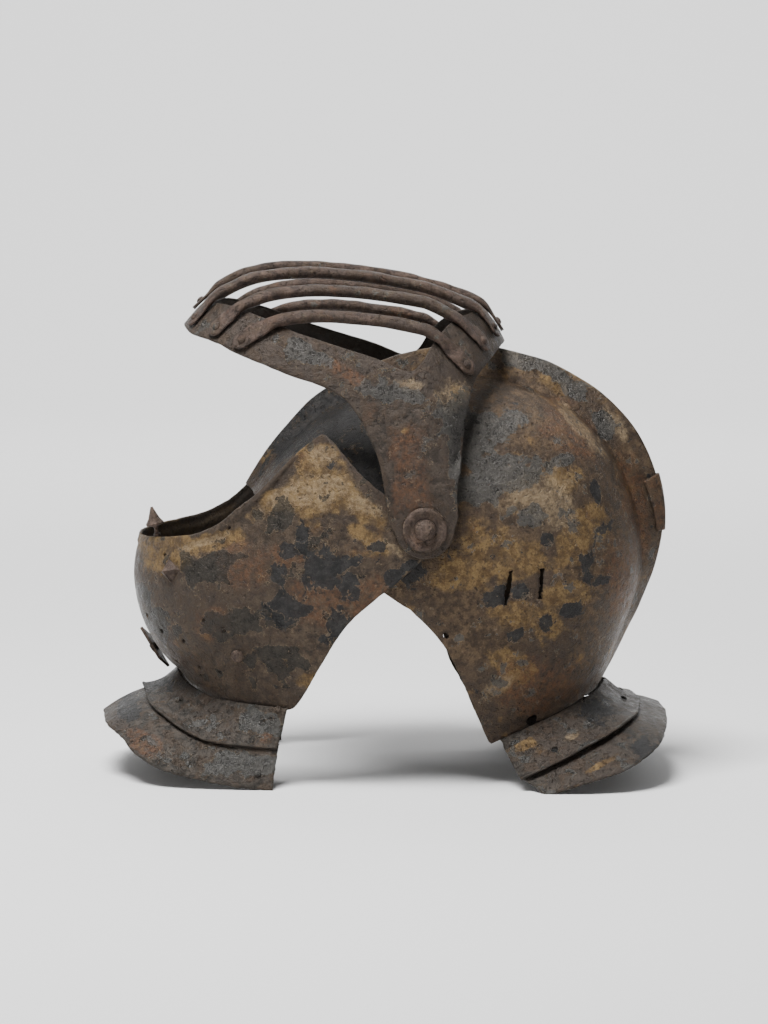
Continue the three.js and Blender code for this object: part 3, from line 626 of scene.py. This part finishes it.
class SideForm:
    """The outer face of a plate that turns about the pivots, polar about the pivot line."""

    def __init__(self, half_width, blunt_rows, median_rows, first_edge, last_edge,
                 hub_reach, hub_blunt, station_blunt, eye):
        self.half_width = half_width
        self.blunt_rows = blunt_rows
        self.median_rows = median_rows
        self.first_edge = first_edge
        self.last_edge = last_edge
        self.hub_reach = hub_reach
        self.hub_blunt = hub_blunt
        self.station_blunt = station_blunt
        self.eye_share = eye / hub_reach
        self.eye_station = math.acos(self.eye_share ** (station_blunt / 2))
        self.ends = lru_cache(maxsize=None)(self.ends_at)

    def radius(self, angle, share):
        k = eased(0.12, 0.5, share)
        return reading(self.median_rows, angle) * k + self.hub_reach * (1 - k)

    def point(self, angle, share, side):
        r = share * self.radius(angle, share)
        turn = math.radians(angle)
        blunt = reading(self.blunt_rows, angle)
        blunt = self.hub_blunt + (blunt - self.hub_blunt) * eased(0.1, 0.45, share)
        y = side * self.half_width * (1 - min(share, 1) ** blunt) ** (1 / blunt)
        return Vector((r * math.cos(turn), y, r * math.sin(turn)))

    def edge(self, rows, share):
        angle = reading(rows, share * self.radius(120, share))
        for _ in range(8):
            angle = reading(rows, share * self.radius(angle, share))
        return angle

    def ends_at(self, share):
        return self.edge(self.first_edge, share), self.edge(self.last_edge, share)

    def at_radius(self, angle, radius, side):
        share = radius / self.radius(angle, 1)
        for _ in range(8):
            share = min(radius / self.radius(angle, share), 1)
        return self.point(angle, share, side)

    def outward(self, angle, share, side):
        step = min(share + 0.004, 1) - 0.004
        across = self.point(angle, step + 0.004, side) - self.point(angle, step - 0.004, side)
        if share > 0.999:
            across = Vector((0, -1, 0))
        along = self.point(angle + 0.5, share, side) - self.point(angle - 0.5, share, side)
        normal = along.cross(across).normalized()
        return -normal if normal.dot(self.point(angle, share, side)) < 0 else normal

    def eye_point(self, part, v, side):
        """The round eye beyond the plate's last column: part runs from 0 there to 1 at the far rim."""
        first, last = self.ends(self.eye_share)
        r = self.eye_share * self.hub_reach
        half = (360 - (last - first)) / 2
        far = math.radians((first + last) / 2 + 180)
        swing = math.radians(half) * math.acos(min(max(2 * part - 1, -1), 1)) / math.pi
        full = math.radians(half)
        left = Vector((math.cos(far + swing), math.sin(far + swing))) * r
        right = Vector((math.cos(far - swing), math.sin(far - swing))) * r
        edge_left = Vector((math.cos(far + full), math.sin(far + full))) * r
        edge_right = Vector((math.cos(far - full), math.sin(far - full))) * r
        angle = math.radians(first + (last - first) * v)
        bulge = Vector((math.cos(angle), math.sin(angle))) * r - edge_left.lerp(edge_right, v)
        flat = left.lerp(right, v) + bulge * (swing / full) ** 1.5
        share = flat.length / self.hub_reach
        y = side * self.half_width * (1 - share**self.hub_blunt) ** (1 / self.hub_blunt)
        return Vector((flat.x, y, flat.y))


BEVOR = SideForm(
    half_width=107,
    blunt_rows=[(137, 2.05), (183, 2.3), (213, 2.6)],
    median_rows=[
        (137, 196), (175, 196), (183.7, 198), (187.5, 203), (192, 207), (197, 209),
        (202, 209.3), (207, 207), (210, 204.5), (213, 201.5), (225, 205), (236, 212),
    ],
    first_edge=[
        (17, 110), (26, 137), (93, 137), (95.5, 142), (99, 149), (105, 159), (115, 168.6),
        (126, 174.2), (137, 178.9), (153.5, 182.2), (172, 183.3), (191, 183.7),
    ],
    last_edge=[
        (17, 270), (31, 250), (50, 238), (66, 233.3), (80, 231.5), (95, 231.7), (125, 233.6),
        (148, 234.6), (156, 233.8), (166, 229), (177, 224.7), (189, 220.7), (193, 218.8),
        (199, 215.6), (201.3, 213),
    ],
    hub_reach=198, hub_blunt=2.2, station_blunt=2.4, eye=18.5,
)
EYE_PART = 0.88
# The raised band: its height, and the radii and the widths between which it fades
BAND_RISE = 1.3
BAND_RADII = (96, 104)
BAND_WIDTHS = (5.5, 7.5)


def bevor_form(u, v):
    side = 2 * u - 1
    sign = math.copysign(1, side)
    if abs(side) > EYE_PART:
        return BEVOR.eye_point((abs(side) - EYE_PART) / (1 - EYE_PART), v, sign)
    share = reach(BEVOR.eye_station * abs(side) / EYE_PART, BEVOR.station_blunt)
    first, last = BEVOR.ends(round(share, 6))
    angle = first + (last - first) * v
    point = BEVOR.point(angle, share, sign)
    radius = share * BEVOR.radius(angle, share)
    from_edge = math.radians(angle - first) * radius
    band = BAND_RISE * eased(*BAND_RADII, radius) * (1 - eased(*BAND_WIDTHS, from_edge))
    return point + BEVOR.outward(angle, share, sign) * band if band else point


bevor_finish = iron(
    "bevor iron", (0.033, 0.0245, 0.018), (0.08, 0.058, 0.04), 300, slate=(0.036, 0.034, 0.03),
)

# Layer, x, z, half length, half height, turn
BEVOR_STAINS = [
    ("Black", -94, -55, 16, 11, 0), ("Black", -99, -32, 5, 7, 0), ("Black", -72, -28, 15, 13, 0),
    ("Black", -57, -24, 12, 7, 15), ("Black", -51, -38, 9, 8, -20), ("Black", -82, -7, 5, 11, 0),
    ("Black", -92, -15, 7, 5, 0), ("Black", -33, -12, 7, 4, 0), ("Black", -21, -34, 5, 6, 0),
    ("Black", -9, -24, 7, 4, 20), ("Black", -57, -63, 9, 9, 0), ("Black", -67, -76, 5, 4, 0),
    ("Slate", -98, 9, 13, 7, 0), ("Slate", -194, -60, 9, 15, 0), ("Slate", -130, -66, 26, 12, 10),
    ("Slate", -150, -28, 18, 10, 20), ("Slate", -182, -72, 14, 14, 0), ("Slate", -100, -90, 20, 10, 0),
    ("Ochre", -184, -20, 14, 18, 0), ("Ochre", -165, -20, 15, 11, 0), ("Ochre", -145, -11, 22, 6, 20),
    ("Ochre", -96, 20, 24, 9, 35), ("Ochre", -70, 26, 28, 18, 20), ("Ochre", -46, 17, 26, 9, -30),
    ("Ochre", -36, -8, 22, 5, -35), ("Ochre", -70, 45, 12, 13, 0), ("Ochre", -70, -105, 16, 5, 0),
    ("Scoured", -96, 20, 20, 7, 35), ("Scoured", -72, 24, 24, 14, 10), ("Scoured", -44, 17, 22, 6, -30),
    ("Scoured", -20, -14, 12, 3, -35), ("Scoured", -150, -12, 20, 3, 22), ("Scoured", -70, 48, 10, 8, 0),
    ("Rust", -72, -50, 30, 18, 0), ("Rust", -125, -28, 18, 14, 0), ("Rust", -144, -66, 12, 12, 0),
    ("Rust", -42, -45, 22, 12, 30), ("Rust", -90, -18, 16, 8, 0),
]
# Angle about the pivots, radius from them, radius of the hole
BREATH_HOLES = [
    (199.3, 203, 1.6), (203, 196, 1.6), (206.4, 184, 1.6), (203.5, 164, 1.4), (207.8, 154, 1.6),
    (210, 197, 1.5), (213.2, 184, 1.5), (187.2, 179, 1.3), (180.6, 132, 1.3),
]

bevor = bent_sheet(bevor_form, 240, 76)
for angle, radius, hole in BREATH_HOLES:
    spot = BEVOR.at_radius(angle, radius, -1)
    pierced(bevor, spot.x, spot.z, -1, hole)
bored_for_pivots(bevor)
weathered(bevor, dents=0.7, chips=0.6)
walled(bevor, PLATE)
stained(bevor, (0.26, 0.28, 0.22, 0.24, 0.32), BEVOR_STAINS)
finished(bevor, "bevor_shell", "bevor_body", bevor_finish, "bevor")


# Visor frame
# The visor's frame is one plate: a front band and a broad brow band on two side arms.
# Its window is cut out between the bands, and the arms turn on the side pivots.

VISOR_HALF_WIDTH = 109.8
VISOR = SideForm(
    half_width=VISOR_HALF_WIDTH,
    blunt_rows=[(65, 1.75), (78, 2.1), (90, 2.5)],
    median_rows=[
        (64.7, 133), (68.4, 140), (73.2, 148), (83.4, 154.3), (95.6, 163), (106.5, 174.6),
        (117.8, 192), (125.2, 204), (131, 210), (136, 212.5), (141.4, 213),
    ],
    first_edge=[
        (16, -30), (20, 0), (29.4, 43.4), (47, 59.2), (72, 68.2), (88.4, 70.1), (105.2, 70.5),
        (118.4, 67.9), (129, 66), (134, 64.7),
    ],
    last_edge=[
        (16, 215), (20, 190), (28.2, 151.5), (47, 127.9), (71, 121.3), (98, 120.9),
        (113, 124.3), (137, 131.4), (168, 136.9), (189, 139.1), (205, 141.2), (213, 141.4),
    ],
    hub_reach=170, hub_blunt=2.5, station_blunt=2.2, eye=19.5,
)
# Angle, radius of the window's side edge
WINDOW_ROWS = [
    (75.5, 147), (79, 143), (83, 135.5), (87, 124), (90, 113), (94, 106), (98.3, 107.6),
    (106, 118), (115, 133.3), (122.8, 154), (126, 168), (129, 183), (132, 199), (134.5, 209),
]
# The window's tip: the angles of its rear and front corners, the rows of the sheet they lie on with
# the slack in those rows, its column and the column where the pivot's eye starts
TIP_REAR, TIP_FRONT = 87.0, 106.0
REAR_ROW, FRONT_ROW = 0.36, 0.64
ROW_SLACK = 1e-4
TIP_COLUMN, VISOR_EYE = 0.52, 0.88


def window_share(angle):
    return min(reading(WINDOW_ROWS, angle) / VISOR.radius(angle, 1), 1)


@lru_cache(maxsize=None)
def window_angle(share, rear):
    """Where the window's rear or front edge crosses a column of the frame."""
    low, high = (WINDOW_ROWS[0][0], TIP_REAR) if rear else (WINDOW_ROWS[-1][0], TIP_FRONT)
    for _ in range(24):
        middle = (low + high) / 2
        if window_share(middle) > share:
            low = middle
        else:
            high = middle
    return low


def visor_form(u, v):
    side = 2 * u - 1
    sign = math.copysign(1, side)
    place = abs(side)
    if place > VISOR_EYE:
        return VISOR.eye_point((place - VISOR_EYE) / (1 - VISOR_EYE), v, sign)
    band = min(max((v - REAR_ROW) / (FRONT_ROW - REAR_ROW), 0), 1)
    tip_angle = TIP_REAR + (TIP_FRONT - TIP_REAR) * band
    tip_station = math.acos(window_share(tip_angle) ** (VISOR.station_blunt / 2))
    if place <= TIP_COLUMN:
        share = reach(tip_station * place / TIP_COLUMN, VISOR.station_blunt)
        first, last = VISOR.ends(round(share, 6))
        if v < REAR_ROW + ROW_SLACK:
            angle = first + (window_angle(round(share, 6), True) - first) * v / REAR_ROW
        elif v < FRONT_ROW - ROW_SLACK:
            angle = tip_angle
        else:
            start = window_angle(round(share, 6), False)
            angle = start + (last - start) * (v - FRONT_ROW) / (1 - FRONT_ROW)
        return VISOR.point(angle, share, sign)
    k = 1 - (place - TIP_COLUMN) / (VISOR_EYE - TIP_COLUMN)
    share = reach(VISOR.eye_station + (tip_station - VISOR.eye_station) * k, VISOR.station_blunt)
    first, last = VISOR.ends(round(share, 6))
    w = k * k
    rear = (first + (last - first) * REAR_ROW) * (1 - w) + TIP_REAR * w
    front = (first + (last - first) * FRONT_ROW) * (1 - w) + TIP_FRONT * w
    if v <= REAR_ROW:
        angle = first + (rear - first) * v / REAR_ROW
    elif v <= FRONT_ROW:
        angle = rear + (front - rear) * band
    else:
        angle = front + (last - front) * (v - FRONT_ROW) / (1 - FRONT_ROW)
    return VISOR.point(angle, share, sign)


def in_window(u, v):
    return abs(2 * u - 1) < TIP_COLUMN and REAR_ROW < v < FRONT_ROW


visor_finish = iron(
    "visor iron", (0.026, 0.0205, 0.0165), (0.06, 0.046, 0.036), 600, slate=(0.068, 0.066, 0.062),
)

# Layer, x, z, half length, half height, turn
VISOR_STAINS = [
    ("Slate", 22, 76, 20, 18, 0), ("Slate", -20, 92, 22, 7, -10), ("Slate", 20, 46, 6, 20, 0),
    ("Scoured", 18, 88, 14, 12, 0), ("Scoured", -10, 96, 14, 5, 0), ("Rust", -14, 58, 14, 12, -60),
    ("Rust", -8, 30, 12, 30, 0), ("Ochre", -14, 66, 4, 3, 0), ("Rust", -52, 104, 18, 5, -30),
    ("Slate", -80, 118, 20, 6, -30), ("Scoured", 24, 92, 6, 3, -30), ("Ochre", 22, 90, 7, 4, -30),
]
visor = bent_sheet(visor_form, 200, 50, in_window)
bored_for_pivots(visor)
weathered(visor, dents=0.6, chips=0.5)
walled(visor, PLATE)
stained(visor, (0.08, 0.28, 0.1, 0.28, 0.28), VISOR_STAINS)
finished(visor, "visor_shell", "visor_body", visor_finish, "visor_frame")


# Window bars
# Seven forged rods guard the window, sunk a little into it between their ends.
# Each is drawn out flat to a foot at both ends and riveted to the frame.

BAR_WIDTH, FOOT_WIDTH = 8.8, 12.5
NECK_THICKNESS, FOOT_THICKNESS = 5.6, 2.4
# How much thicker a bar is in the window than at its neck, and how far it sinks there
BAR_SWELL, BAR_SINK = 2.2, 1.9
BAR_STAND = 0.5
BAR_WOBBLE, BAR_ROUGHNESS = 0.8, 0.09
BAR_BLUNT, FOOT_BLUNT = 0.85, 0.62
END_ROUNDING = 5
BAR_REAR_ANGLE, BAR_FRONT_ANGLE = 66, 140
REAR_GAP, FRONT_GAP, CENTRE_FRONT_GAP = 2.2, 0.8, 3.2
BAR_STEPS = 160
RIVET_RADIUS, RIVET_FROM_END = 2.9, 7.5
RIVET_SQUASH = Matrix.Diagonal((1, 1, 0.55, 1))
# Distance from the middle at the rear and at the front, length of each foot
BAR_PLACES = [(0, 0, 15), (25, 36, 15), (51, 60, 20), (75, 75, 24)]


def bar_share(angle, place):
    rear, front, _ = BAR_PLACES[abs(place)]
    k = min(max((angle - BAR_REAR_ANGLE) / (BAR_FRONT_ANGLE - BAR_REAR_ANGLE), 0), 1)
    blunt = reading(VISOR.blunt_rows, angle)
    return (1 - ((rear * (1 - k) + front * k) / VISOR_HALF_WIDTH) ** blunt) ** (1 / blunt)


def bar_route(place):
    """Rows of the length run along a bar and the angle reached, its whole length, and its side."""
    side = math.copysign(1, place) if place else 1
    rear_share = bar_share(BAR_REAR_ANGLE + 2, place)
    front_share = bar_share(BAR_FRONT_ANGLE - 2, place)
    start = VISOR.edge(VISOR.first_edge, rear_share) + REAR_GAP
    end = VISOR.edge(VISOR.last_edge, front_share) - (FRONT_GAP if place else CENTRE_FRONT_GAP)
    angles = [start + (end - start) * i / BAR_STEPS for i in range(BAR_STEPS + 1)]
    points = [VISOR.point(a, bar_share(a, place), side) for a in angles]
    runs = [0.0]
    for before, after in zip(points, points[1:]):
        runs.append(runs[-1] + (after - before).length)
    return list(zip(runs, angles)), runs[-1], side


def bar_form(place):
    """The form of a bar's sheet, the place of a rivet on it, and how far along it the first one is."""
    rows, length, side = bar_route(place)
    foot = BAR_PLACES[abs(place)][2]

    @lru_cache(maxsize=None)
    def section(v):
        run = length * v
        i = min(max(bisect_right(rows, (run, 1e9)) - 1, 0), len(rows) - 2)
        t = (run - rows[i][0]) / (rows[i + 1][0] - rows[i][0])
        angle = rows[i][1] + (rows[i + 1][1] - rows[i][1]) * t
        share = bar_share(angle, place)
        centre = VISOR.point(angle, share, side)
        ahead = VISOR.point(angle + 0.3, bar_share(angle + 0.3, place), side)
        along = (ahead - centre).normalized()
        lift = VISOR.outward(angle, share, side)
        lift = (lift - along * lift.dot(along)).normalized()
        beside = along.cross(lift).normalized()
        from_end = min(run, length - run)
        k = eased(foot - 4, foot + 10, from_end)
        sunk = eased(foot + 8, foot + 18, from_end)
        round_end = math.sqrt(min(max(from_end / END_ROUNDING, 0.0), 1))
        rough = 1 + BAR_ROUGHNESS * noise.noise(centre / 11 + Vector((place * 3, 0, 0)))
        width = (FOOT_WIDTH * (1 - k) + BAR_WIDTH * k) * round_end * rough
        thick = (FOOT_THICKNESS * (1 - k) + (NECK_THICKNESS + BAR_SWELL * sunk) * k) * rough
        wobble = noise.noise(centre / 30 + Vector((place * 3, 0, 0)))
        centre = centre + beside * wobble * BAR_WOBBLE - lift * BAR_SINK * sunk
        return centre, beside, lift, width, thick, k

    def form(u, v):
        centre, beside, lift, width, thick, k = section(round(v, 5))
        turn = 2 * math.pi * u
        blunt = FOOT_BLUNT * (1 - k) + BAR_BLUNT * k
        across = math.copysign(abs(math.cos(turn)) ** blunt, math.cos(turn)) * width / 2
        up = math.copysign(abs(math.sin(turn)) ** blunt, math.sin(turn)) * thick / 2
        return centre + beside * across + lift * (BAR_STAND + thick / 2 + up)

    def rivet(v):
        """The place of a rivet head on a foot, its own z outward."""
        centre, beside, lift, _, thick, _ = section(v)
        turn = Matrix((beside, lift.cross(beside), lift)).transposed().to_4x4()
        return Matrix.Translation(centre + lift * (BAR_STAND + thick)) @ turn @ RIVET_SQUASH

    return form, rivet, RIVET_FROM_END / length


bar_finish = iron(
    "bar iron", (0.034, 0.0235, 0.019), (0.088, 0.06, 0.047), 900,
    even=(0.15, 0.2, 0.1, 0.3, 0.36), lines=0.3,
)
BAR_NAMES = {0: "bar_centre"}
for i in (1, 2, 3):
    BAR_NAMES[-i] = f"bar_left_{i}"
    BAR_NAMES[i] = f"bar_right_{i}"
for place, node in BAR_NAMES.items():
    form, rivet, rivet_end = bar_form(place)
    bar = bent_sheet(form, 16, 150)
    bmesh.ops.holes_fill(bar, edges=[e for e in bar.edges if e.is_boundary], sides=0)
    for v in (rivet_end, 1 - rivet_end):
        bmesh.ops.create_uvsphere(bar, u_segments=20, v_segments=12, radius=RIVET_RADIUS, matrix=rivet(v))
    bmesh.ops.recalc_face_normals(bar, faces=bar.faces)
    finished(bar, node + "_rod", "visor_body", bar_finish, node)


# Side pivots
# An iron bolt with a domed head goes through all three plates at each side, over a turned rosette.
# The visor and the bevor both swing on it.

PIVOT_FACE = 110.2
TURNED_STEPS = 48


def turned(profile):
    """Spins a profile of (radius, height) rows about +Y into a closed solid."""
    bm = bmesh.new()
    chain = [bm.verts.new((r, h, 0)) for r, h in profile]
    edges = [bm.edges.new(pair) for pair in zip(chain, chain[1:])]
    bmesh.ops.spin(
        bm, geom=chain + edges, cent=(0, 0, 0), axis=(0, 1, 0), angle=2 * math.pi,
        steps=TURNED_STEPS, use_merge=True, use_duplicate=False,
    )
    bmesh.ops.remove_doubles(bm, verts=bm.verts, dist=0.005)
    bmesh.ops.recalc_face_normals(bm, faces=bm.faces)
    return bm


fitting_finish = iron(
    "fitting iron", (0.045, 0.031, 0.025), (0.12, 0.084, 0.066), 1200,
    even=(0.15, 0.15, 0.1, 0.3, 0.34), lines=0.3,
)
# Radius, height over the plate
ROSETTE = [
    (PIVOT_HOLE, 0), (15, 0), (15, 0.8), (13.6, 1.7), (11.6, 1.5), (10.2, 0.9), (8.2, 1),
    (PIVOT_HOLE, 1.4), (PIVOT_HOLE, 0),
]
BOLT = [(0, -18), (3, -18), (3, 1.8), (7.4, 1.8), (7.2, 3), (5.9, 4.7), (3.4, 5.9), (0, 6.3)]
BODIES = frame["record"]["behaviour"]["bodies"]
for hand, side in (("left", -1), ("right", 1)):
    for kind, profile in (("pivot_rosette", ROSETTE), ("pivot_bolt", BOLT)):
        fitting = turned(profile)
        if side < 0:
            bmesh.ops.rotate(fitting, verts=fitting.verts, matrix=Matrix.Rotation(math.pi, 3, "X"))
        bmesh.ops.translate(fitting, verts=fitting.verts, vec=(0, side * PIVOT_FACE, 0))
        node = f"{kind}_{hand}"
        body = next(name for name, nodes in BODIES.items() if node in nodes)
        finished(fitting, node + "_turned", body, fitting_finish, node)


# Bevor fittings
# A pointed stud, a domed rivet, a catch peg and a small catch plate are fixed to the bevor.
# The solids are shown as they are, in the same iron as the pivots.

for name in ("bevor_stud", "bevor_rivet", "bevor_peg", "bevor_plate"):
    frame["nodes"][name].data.materials.clear()
    frame["nodes"][name].data.materials.append(fitting_finish)


# Gorget lames
# Two curved iron plates at the throat and two at the nape guard the neck.
# Domed rivets hold them, and the lower plate of each pair is tucked under the upper one.

LAME = 1.8
SLIT = 0.4
LAME_BEAD = 0.9
BEAD_START = 0.93
BEVOR_SWEEP, SKULL_SWEEP = 45.2, 47.5
FORM_STEP = 1e-3
LAME_SQUASH = Matrix.Diagonal((1, 1, 0.6, 1))
# Share of the line from the middle plane to its end, x, y, z
FRONT_UPPER = [
    (0, -197, 0, -119.5), (0.27, -189.5, 41, -127.5), (0.42, -179, 60, -133.4),
    (0.54, -167, 74, -140), (0.68, -149, 86, -146.7), (0.84, -125, 91.5, -149),
    (1, -100.5, 93, -151),
]
FRONT_LOWER = [
    (0, -225.5, 0, -139), (0.23, -219.5, 42, -142.5), (0.36, -207.6, 63, -148.5),
    (0.456, -198, 78, -157), (0.58, -180, 92, -165.3), (0.74, -152, 99, -171.8),
    (0.886, -125, 102, -176.3), (1, -103, 103, -178.8),
]
REAR_UPPER = [
    (0, 153, 0, -131), (0.334, 146.5, 55, -133.5), (0.502, 134, 80, -138),
    (0.664, 113, 98, -146.5), (0.845, 88, 107, -158.5), (1, 65, 107, -170),
]
REAR_LOWER = [
    (0, 171, 0, -138.5), (0.27, 168, 50, -141), (0.465, 160, 86, -149.5),
    (0.643, 141, 110, -159.5), (0.816, 112, 119, -169), (1, 80.5, 117, -179),
]


def line_of(rows):
    columns = [[(row[0], row[i]) for row in rows] for i in (1, 2, 3)]
    return lru_cache(maxsize=None)(lambda share: Vector([reading(c, share) for c in columns]))


@lru_cache(maxsize=None)
def bevor_neck(share):
    level = reach(math.radians(BEVOR_SWEEP * share), BEVOR.station_blunt)
    return BEVOR.point(BEVOR.edge(BEVOR.last_edge, level), level, 1)


@lru_cache(maxsize=None)
def skull_neck(share):
    y = SKULL_HALF_WIDTH * spread(math.radians(SKULL_SWEEP * share), SKULL_BLUNT)
    return skull_point(neck_angle(y), y)


def upper_line(neck, centre_x, out, rise):
    """A lame's inner edge, as far out from a neck edge and above it as said."""
    def line(share):
        point = neck(share).copy()
        away = Vector((point.x - centre_x, point.y, 0)).normalized()
        return point + away * out + Vector((0, 0, rise))
    return lru_cache(maxsize=None)(line)


def lame_form(inner_line, outer_line, hollow, bead=0.0):
    """A lame between two lines, hollowed downwards and with a bead along its outer edge."""
    def form(u, v):
        side = 2 * u - 1
        share = round(abs(side), 6)
        point = inner_line(share).lerp(outer_line(share), v)
        point.z += bead * eased(BEAD_START, 1, v) - hollow * math.sin(math.pi * v)
        if side < 0:
            point.y = -point.y
        return point
    return form


def tucked_line(form, v, drop):
    """The line at v of an upper lame, dropped under it square to its sheet."""
    def line(share):
        u = 0.5 + share / 2
        point = form(u, v)
        du = form(min(u + FORM_STEP, 1), v) - form(u - FORM_STEP, v)
        dv = form(u, v + FORM_STEP) - form(u, v - FORM_STEP)
        return point + du.cross(dv).normalized() * -drop
    return lru_cache(maxsize=None)(line)


lame_finish = iron("lame iron", (0.023, 0.0205, 0.0175), (0.062, 0.052, 0.043), 1500, lines=0.8)
front_upper = lame_form(upper_line(bevor_neck, -100, 2.9, 2), line_of(FRONT_UPPER), 3, LAME_BEAD)
front_lower = lame_form(tucked_line(front_upper, 0.8, LAME + SLIT + 0.2), line_of(FRONT_LOWER), -2)
rear_upper = lame_form(upper_line(skull_neck, 60, 3.2, 0.5), line_of(REAR_UPPER), 2, LAME_BEAD)
rear_lower = lame_form(tucked_line(rear_upper, 0.78, -(LAME + SLIT + 1)), line_of(REAR_LOWER), -1)


def rivet_seat(bm, x, z, side):
    """The turn and place of a rivet head that lies on a sheet at a side-view place."""
    found = nearest(bm, x, z, side)
    turn = found.normal.to_track_quat("Z", "Y").to_matrix().to_4x4()
    return Matrix.Translation(found.co) @ turn @ LAME_SQUASH


def lame_plate(name, form, body, stains, rivets, holes=()):
    bm = bent_sheet(form, 190, 24, upward=True)
    for x, z, radius in holes:
        pierced(bm, x, z, -1, radius)
    weathered(bm, dents=0.9, chips=0.9)
    bm.normal_update()
    seats = [(rivet_seat(bm, x, z, side), radius) for x, z, radius in rivets for side in (-1, 1)]
    walled(bm, LAME)
    for seat, radius in seats:
        bmesh.ops.create_uvsphere(bm, u_segments=18, v_segments=12, radius=radius, matrix=seat)
    stained(bm, (0.22, 0.34, 0.2, 0.22, 0.22), stains)
    # Nothing reaches below the ground that the helmet stands on
    for corner in bm.verts:
        corner.co.z = max(corner.co.z, -PIVOT.z)
    finished(bm, name + "_plate", body, lame_finish, name)


# Stains as above; rivets and holes by x, z, radius
lame_plate("front_lame_upper", front_upper, "bevor_body",
           [("Rust", -107, -144, 6, 4, 0), ("Ochre", -152, -110, 10, 6, 0),
            ("Black", -190, -116, 14, 8, 0), ("Slate", -110, -134, 16, 6, 0)],
           [(-169.4, -124.6, 3), (-100, -125.5, 2.6)])
lame_plate("front_lame_lower", front_lower, "bevor_body",
           [("Slate", -120, -162, 26, 8, 0), ("Rust", -190, -150, 16, 6, -20),
            ("Black", -205, -132, 8, 8, 0)],
           [(-112.7, -168, 2.6)])
lame_plate("rear_lame_upper", rear_upper, "skull_body",
           [("Ochre", 66, -150, 9, 3, 20), ("Scoured", 100, -144, 6, 2, 20),
            ("Black", 120, -130, 12, 7, 0)],
           [(140, -128, 2.4)], [(88.4, -151.2, 2.3)])
lame_plate("rear_lame_lower", rear_lower, "skull_body",
           [("Ochre", 118, -160, 12, 2, 25), ("Black", 150, -150, 12, 6, 0)], [])


# Studio
# The helmet stands on a sweep of pale paper that rises far behind it.
# One soft light hangs over it, one lights the paper behind, and a weak one stands at each side.

SWEEP_WIDTH, SWEEP_LENGTH = 30.0, 22.0
SWEEP_FRONT, SWEEP_START, SWEEP_RADIUS = -14.0, 3.2, 1.1
sweep = bmesh.new()
bmesh.ops.create_grid(sweep, x_segments=1, y_segments=128, size=0.5)
for corner in sweep.verts:
    along = (corner.co.y + 0.5) * SWEEP_LENGTH + SWEEP_FRONT
    bend = min(max((along - SWEEP_START) / SWEEP_RADIUS, 0), math.pi / 2)
    rise = max(along - SWEEP_START - SWEEP_RADIUS * math.pi / 2, 0)
    y = min(along, SWEEP_START) + SWEEP_RADIUS * math.sin(bend)
    corner.co = Vector((corner.co.x * SWEEP_WIDTH, y, SWEEP_RADIUS * (1 - math.cos(bend)) + rise))
sweep_mesh = bpy.data.meshes.new("floor")
sweep.to_mesh(sweep_mesh)
sweep.free()
sweep_mesh.shade_smooth()
sweep_object = shown("floor", sweep_mesh)
paper = bpy.data.materials.new("pale paper")
paper.use_nodes = True
paper_shader = paper.node_tree.nodes["Principled BSDF"]
paper_shader.inputs["Base Color"].default_value = (0.8, 0.8, 0.8, 1)
paper_shader.inputs["Roughness"].default_value = 0.85
paper_shader.inputs["Specular IOR Level"].default_value = 0.2
sweep_mesh.materials.append(paper)

world = bpy.data.worlds.new("studio")
world.use_nodes = True
background = world.node_tree.nodes["Background"]
background.inputs["Color"].default_value = (1, 1, 1, 1)
background.inputs["Strength"].default_value = 0.13
bpy.context.scene.world = world

# Name, power, width, length, place, aim
SOFT_LIGHTS = [
    ("overhead", 90, 0.9, 0.8, (-0.4, -0.55, 1.9), (0, 0, 0.15)),
    ("backdrop", 190, 6.0, 2.0, (0, 2.2, 2.4), (0, 3.6, 0.3)),
    ("left_panel", 4, 0.8, 1.4, (-1.7, -1.2, 1.1), (0, 0, 0.2)),
    ("right_panel", 1.6, 0.6, 1.2, (1.8, -0.3, 0.9), (0, 0, 0.15)),
]


def aimed(thing, place, aim):
    thing.location = place
    thing.rotation_euler = (Vector(aim) - Vector(place)).to_track_quat("-Z", "Y").to_euler()


for name, power, width, length, place, aim in SOFT_LIGHTS:
    lamp = bpy.data.lights.new(name, "AREA")
    lamp.energy = power
    lamp.shape = "RECTANGLE"
    lamp.size, lamp.size_y = width, length
    aimed(shown(name, lamp), place, aim)

CAMERA_PLACE = (-0.000445, -2.4863, 0.4401)
CAMERA_AIM = (-0.000445, 0.0, 0.17875)
camera = bpy.data.cameras.new("camera")
camera.lens = 125.56
camera.sensor_width = 36
camera.clip_end = 50
camera_object = shown("camera", camera)
aimed(camera_object, CAMERA_PLACE, CAMERA_AIM)
bpy.context.scene.camera = camera_object
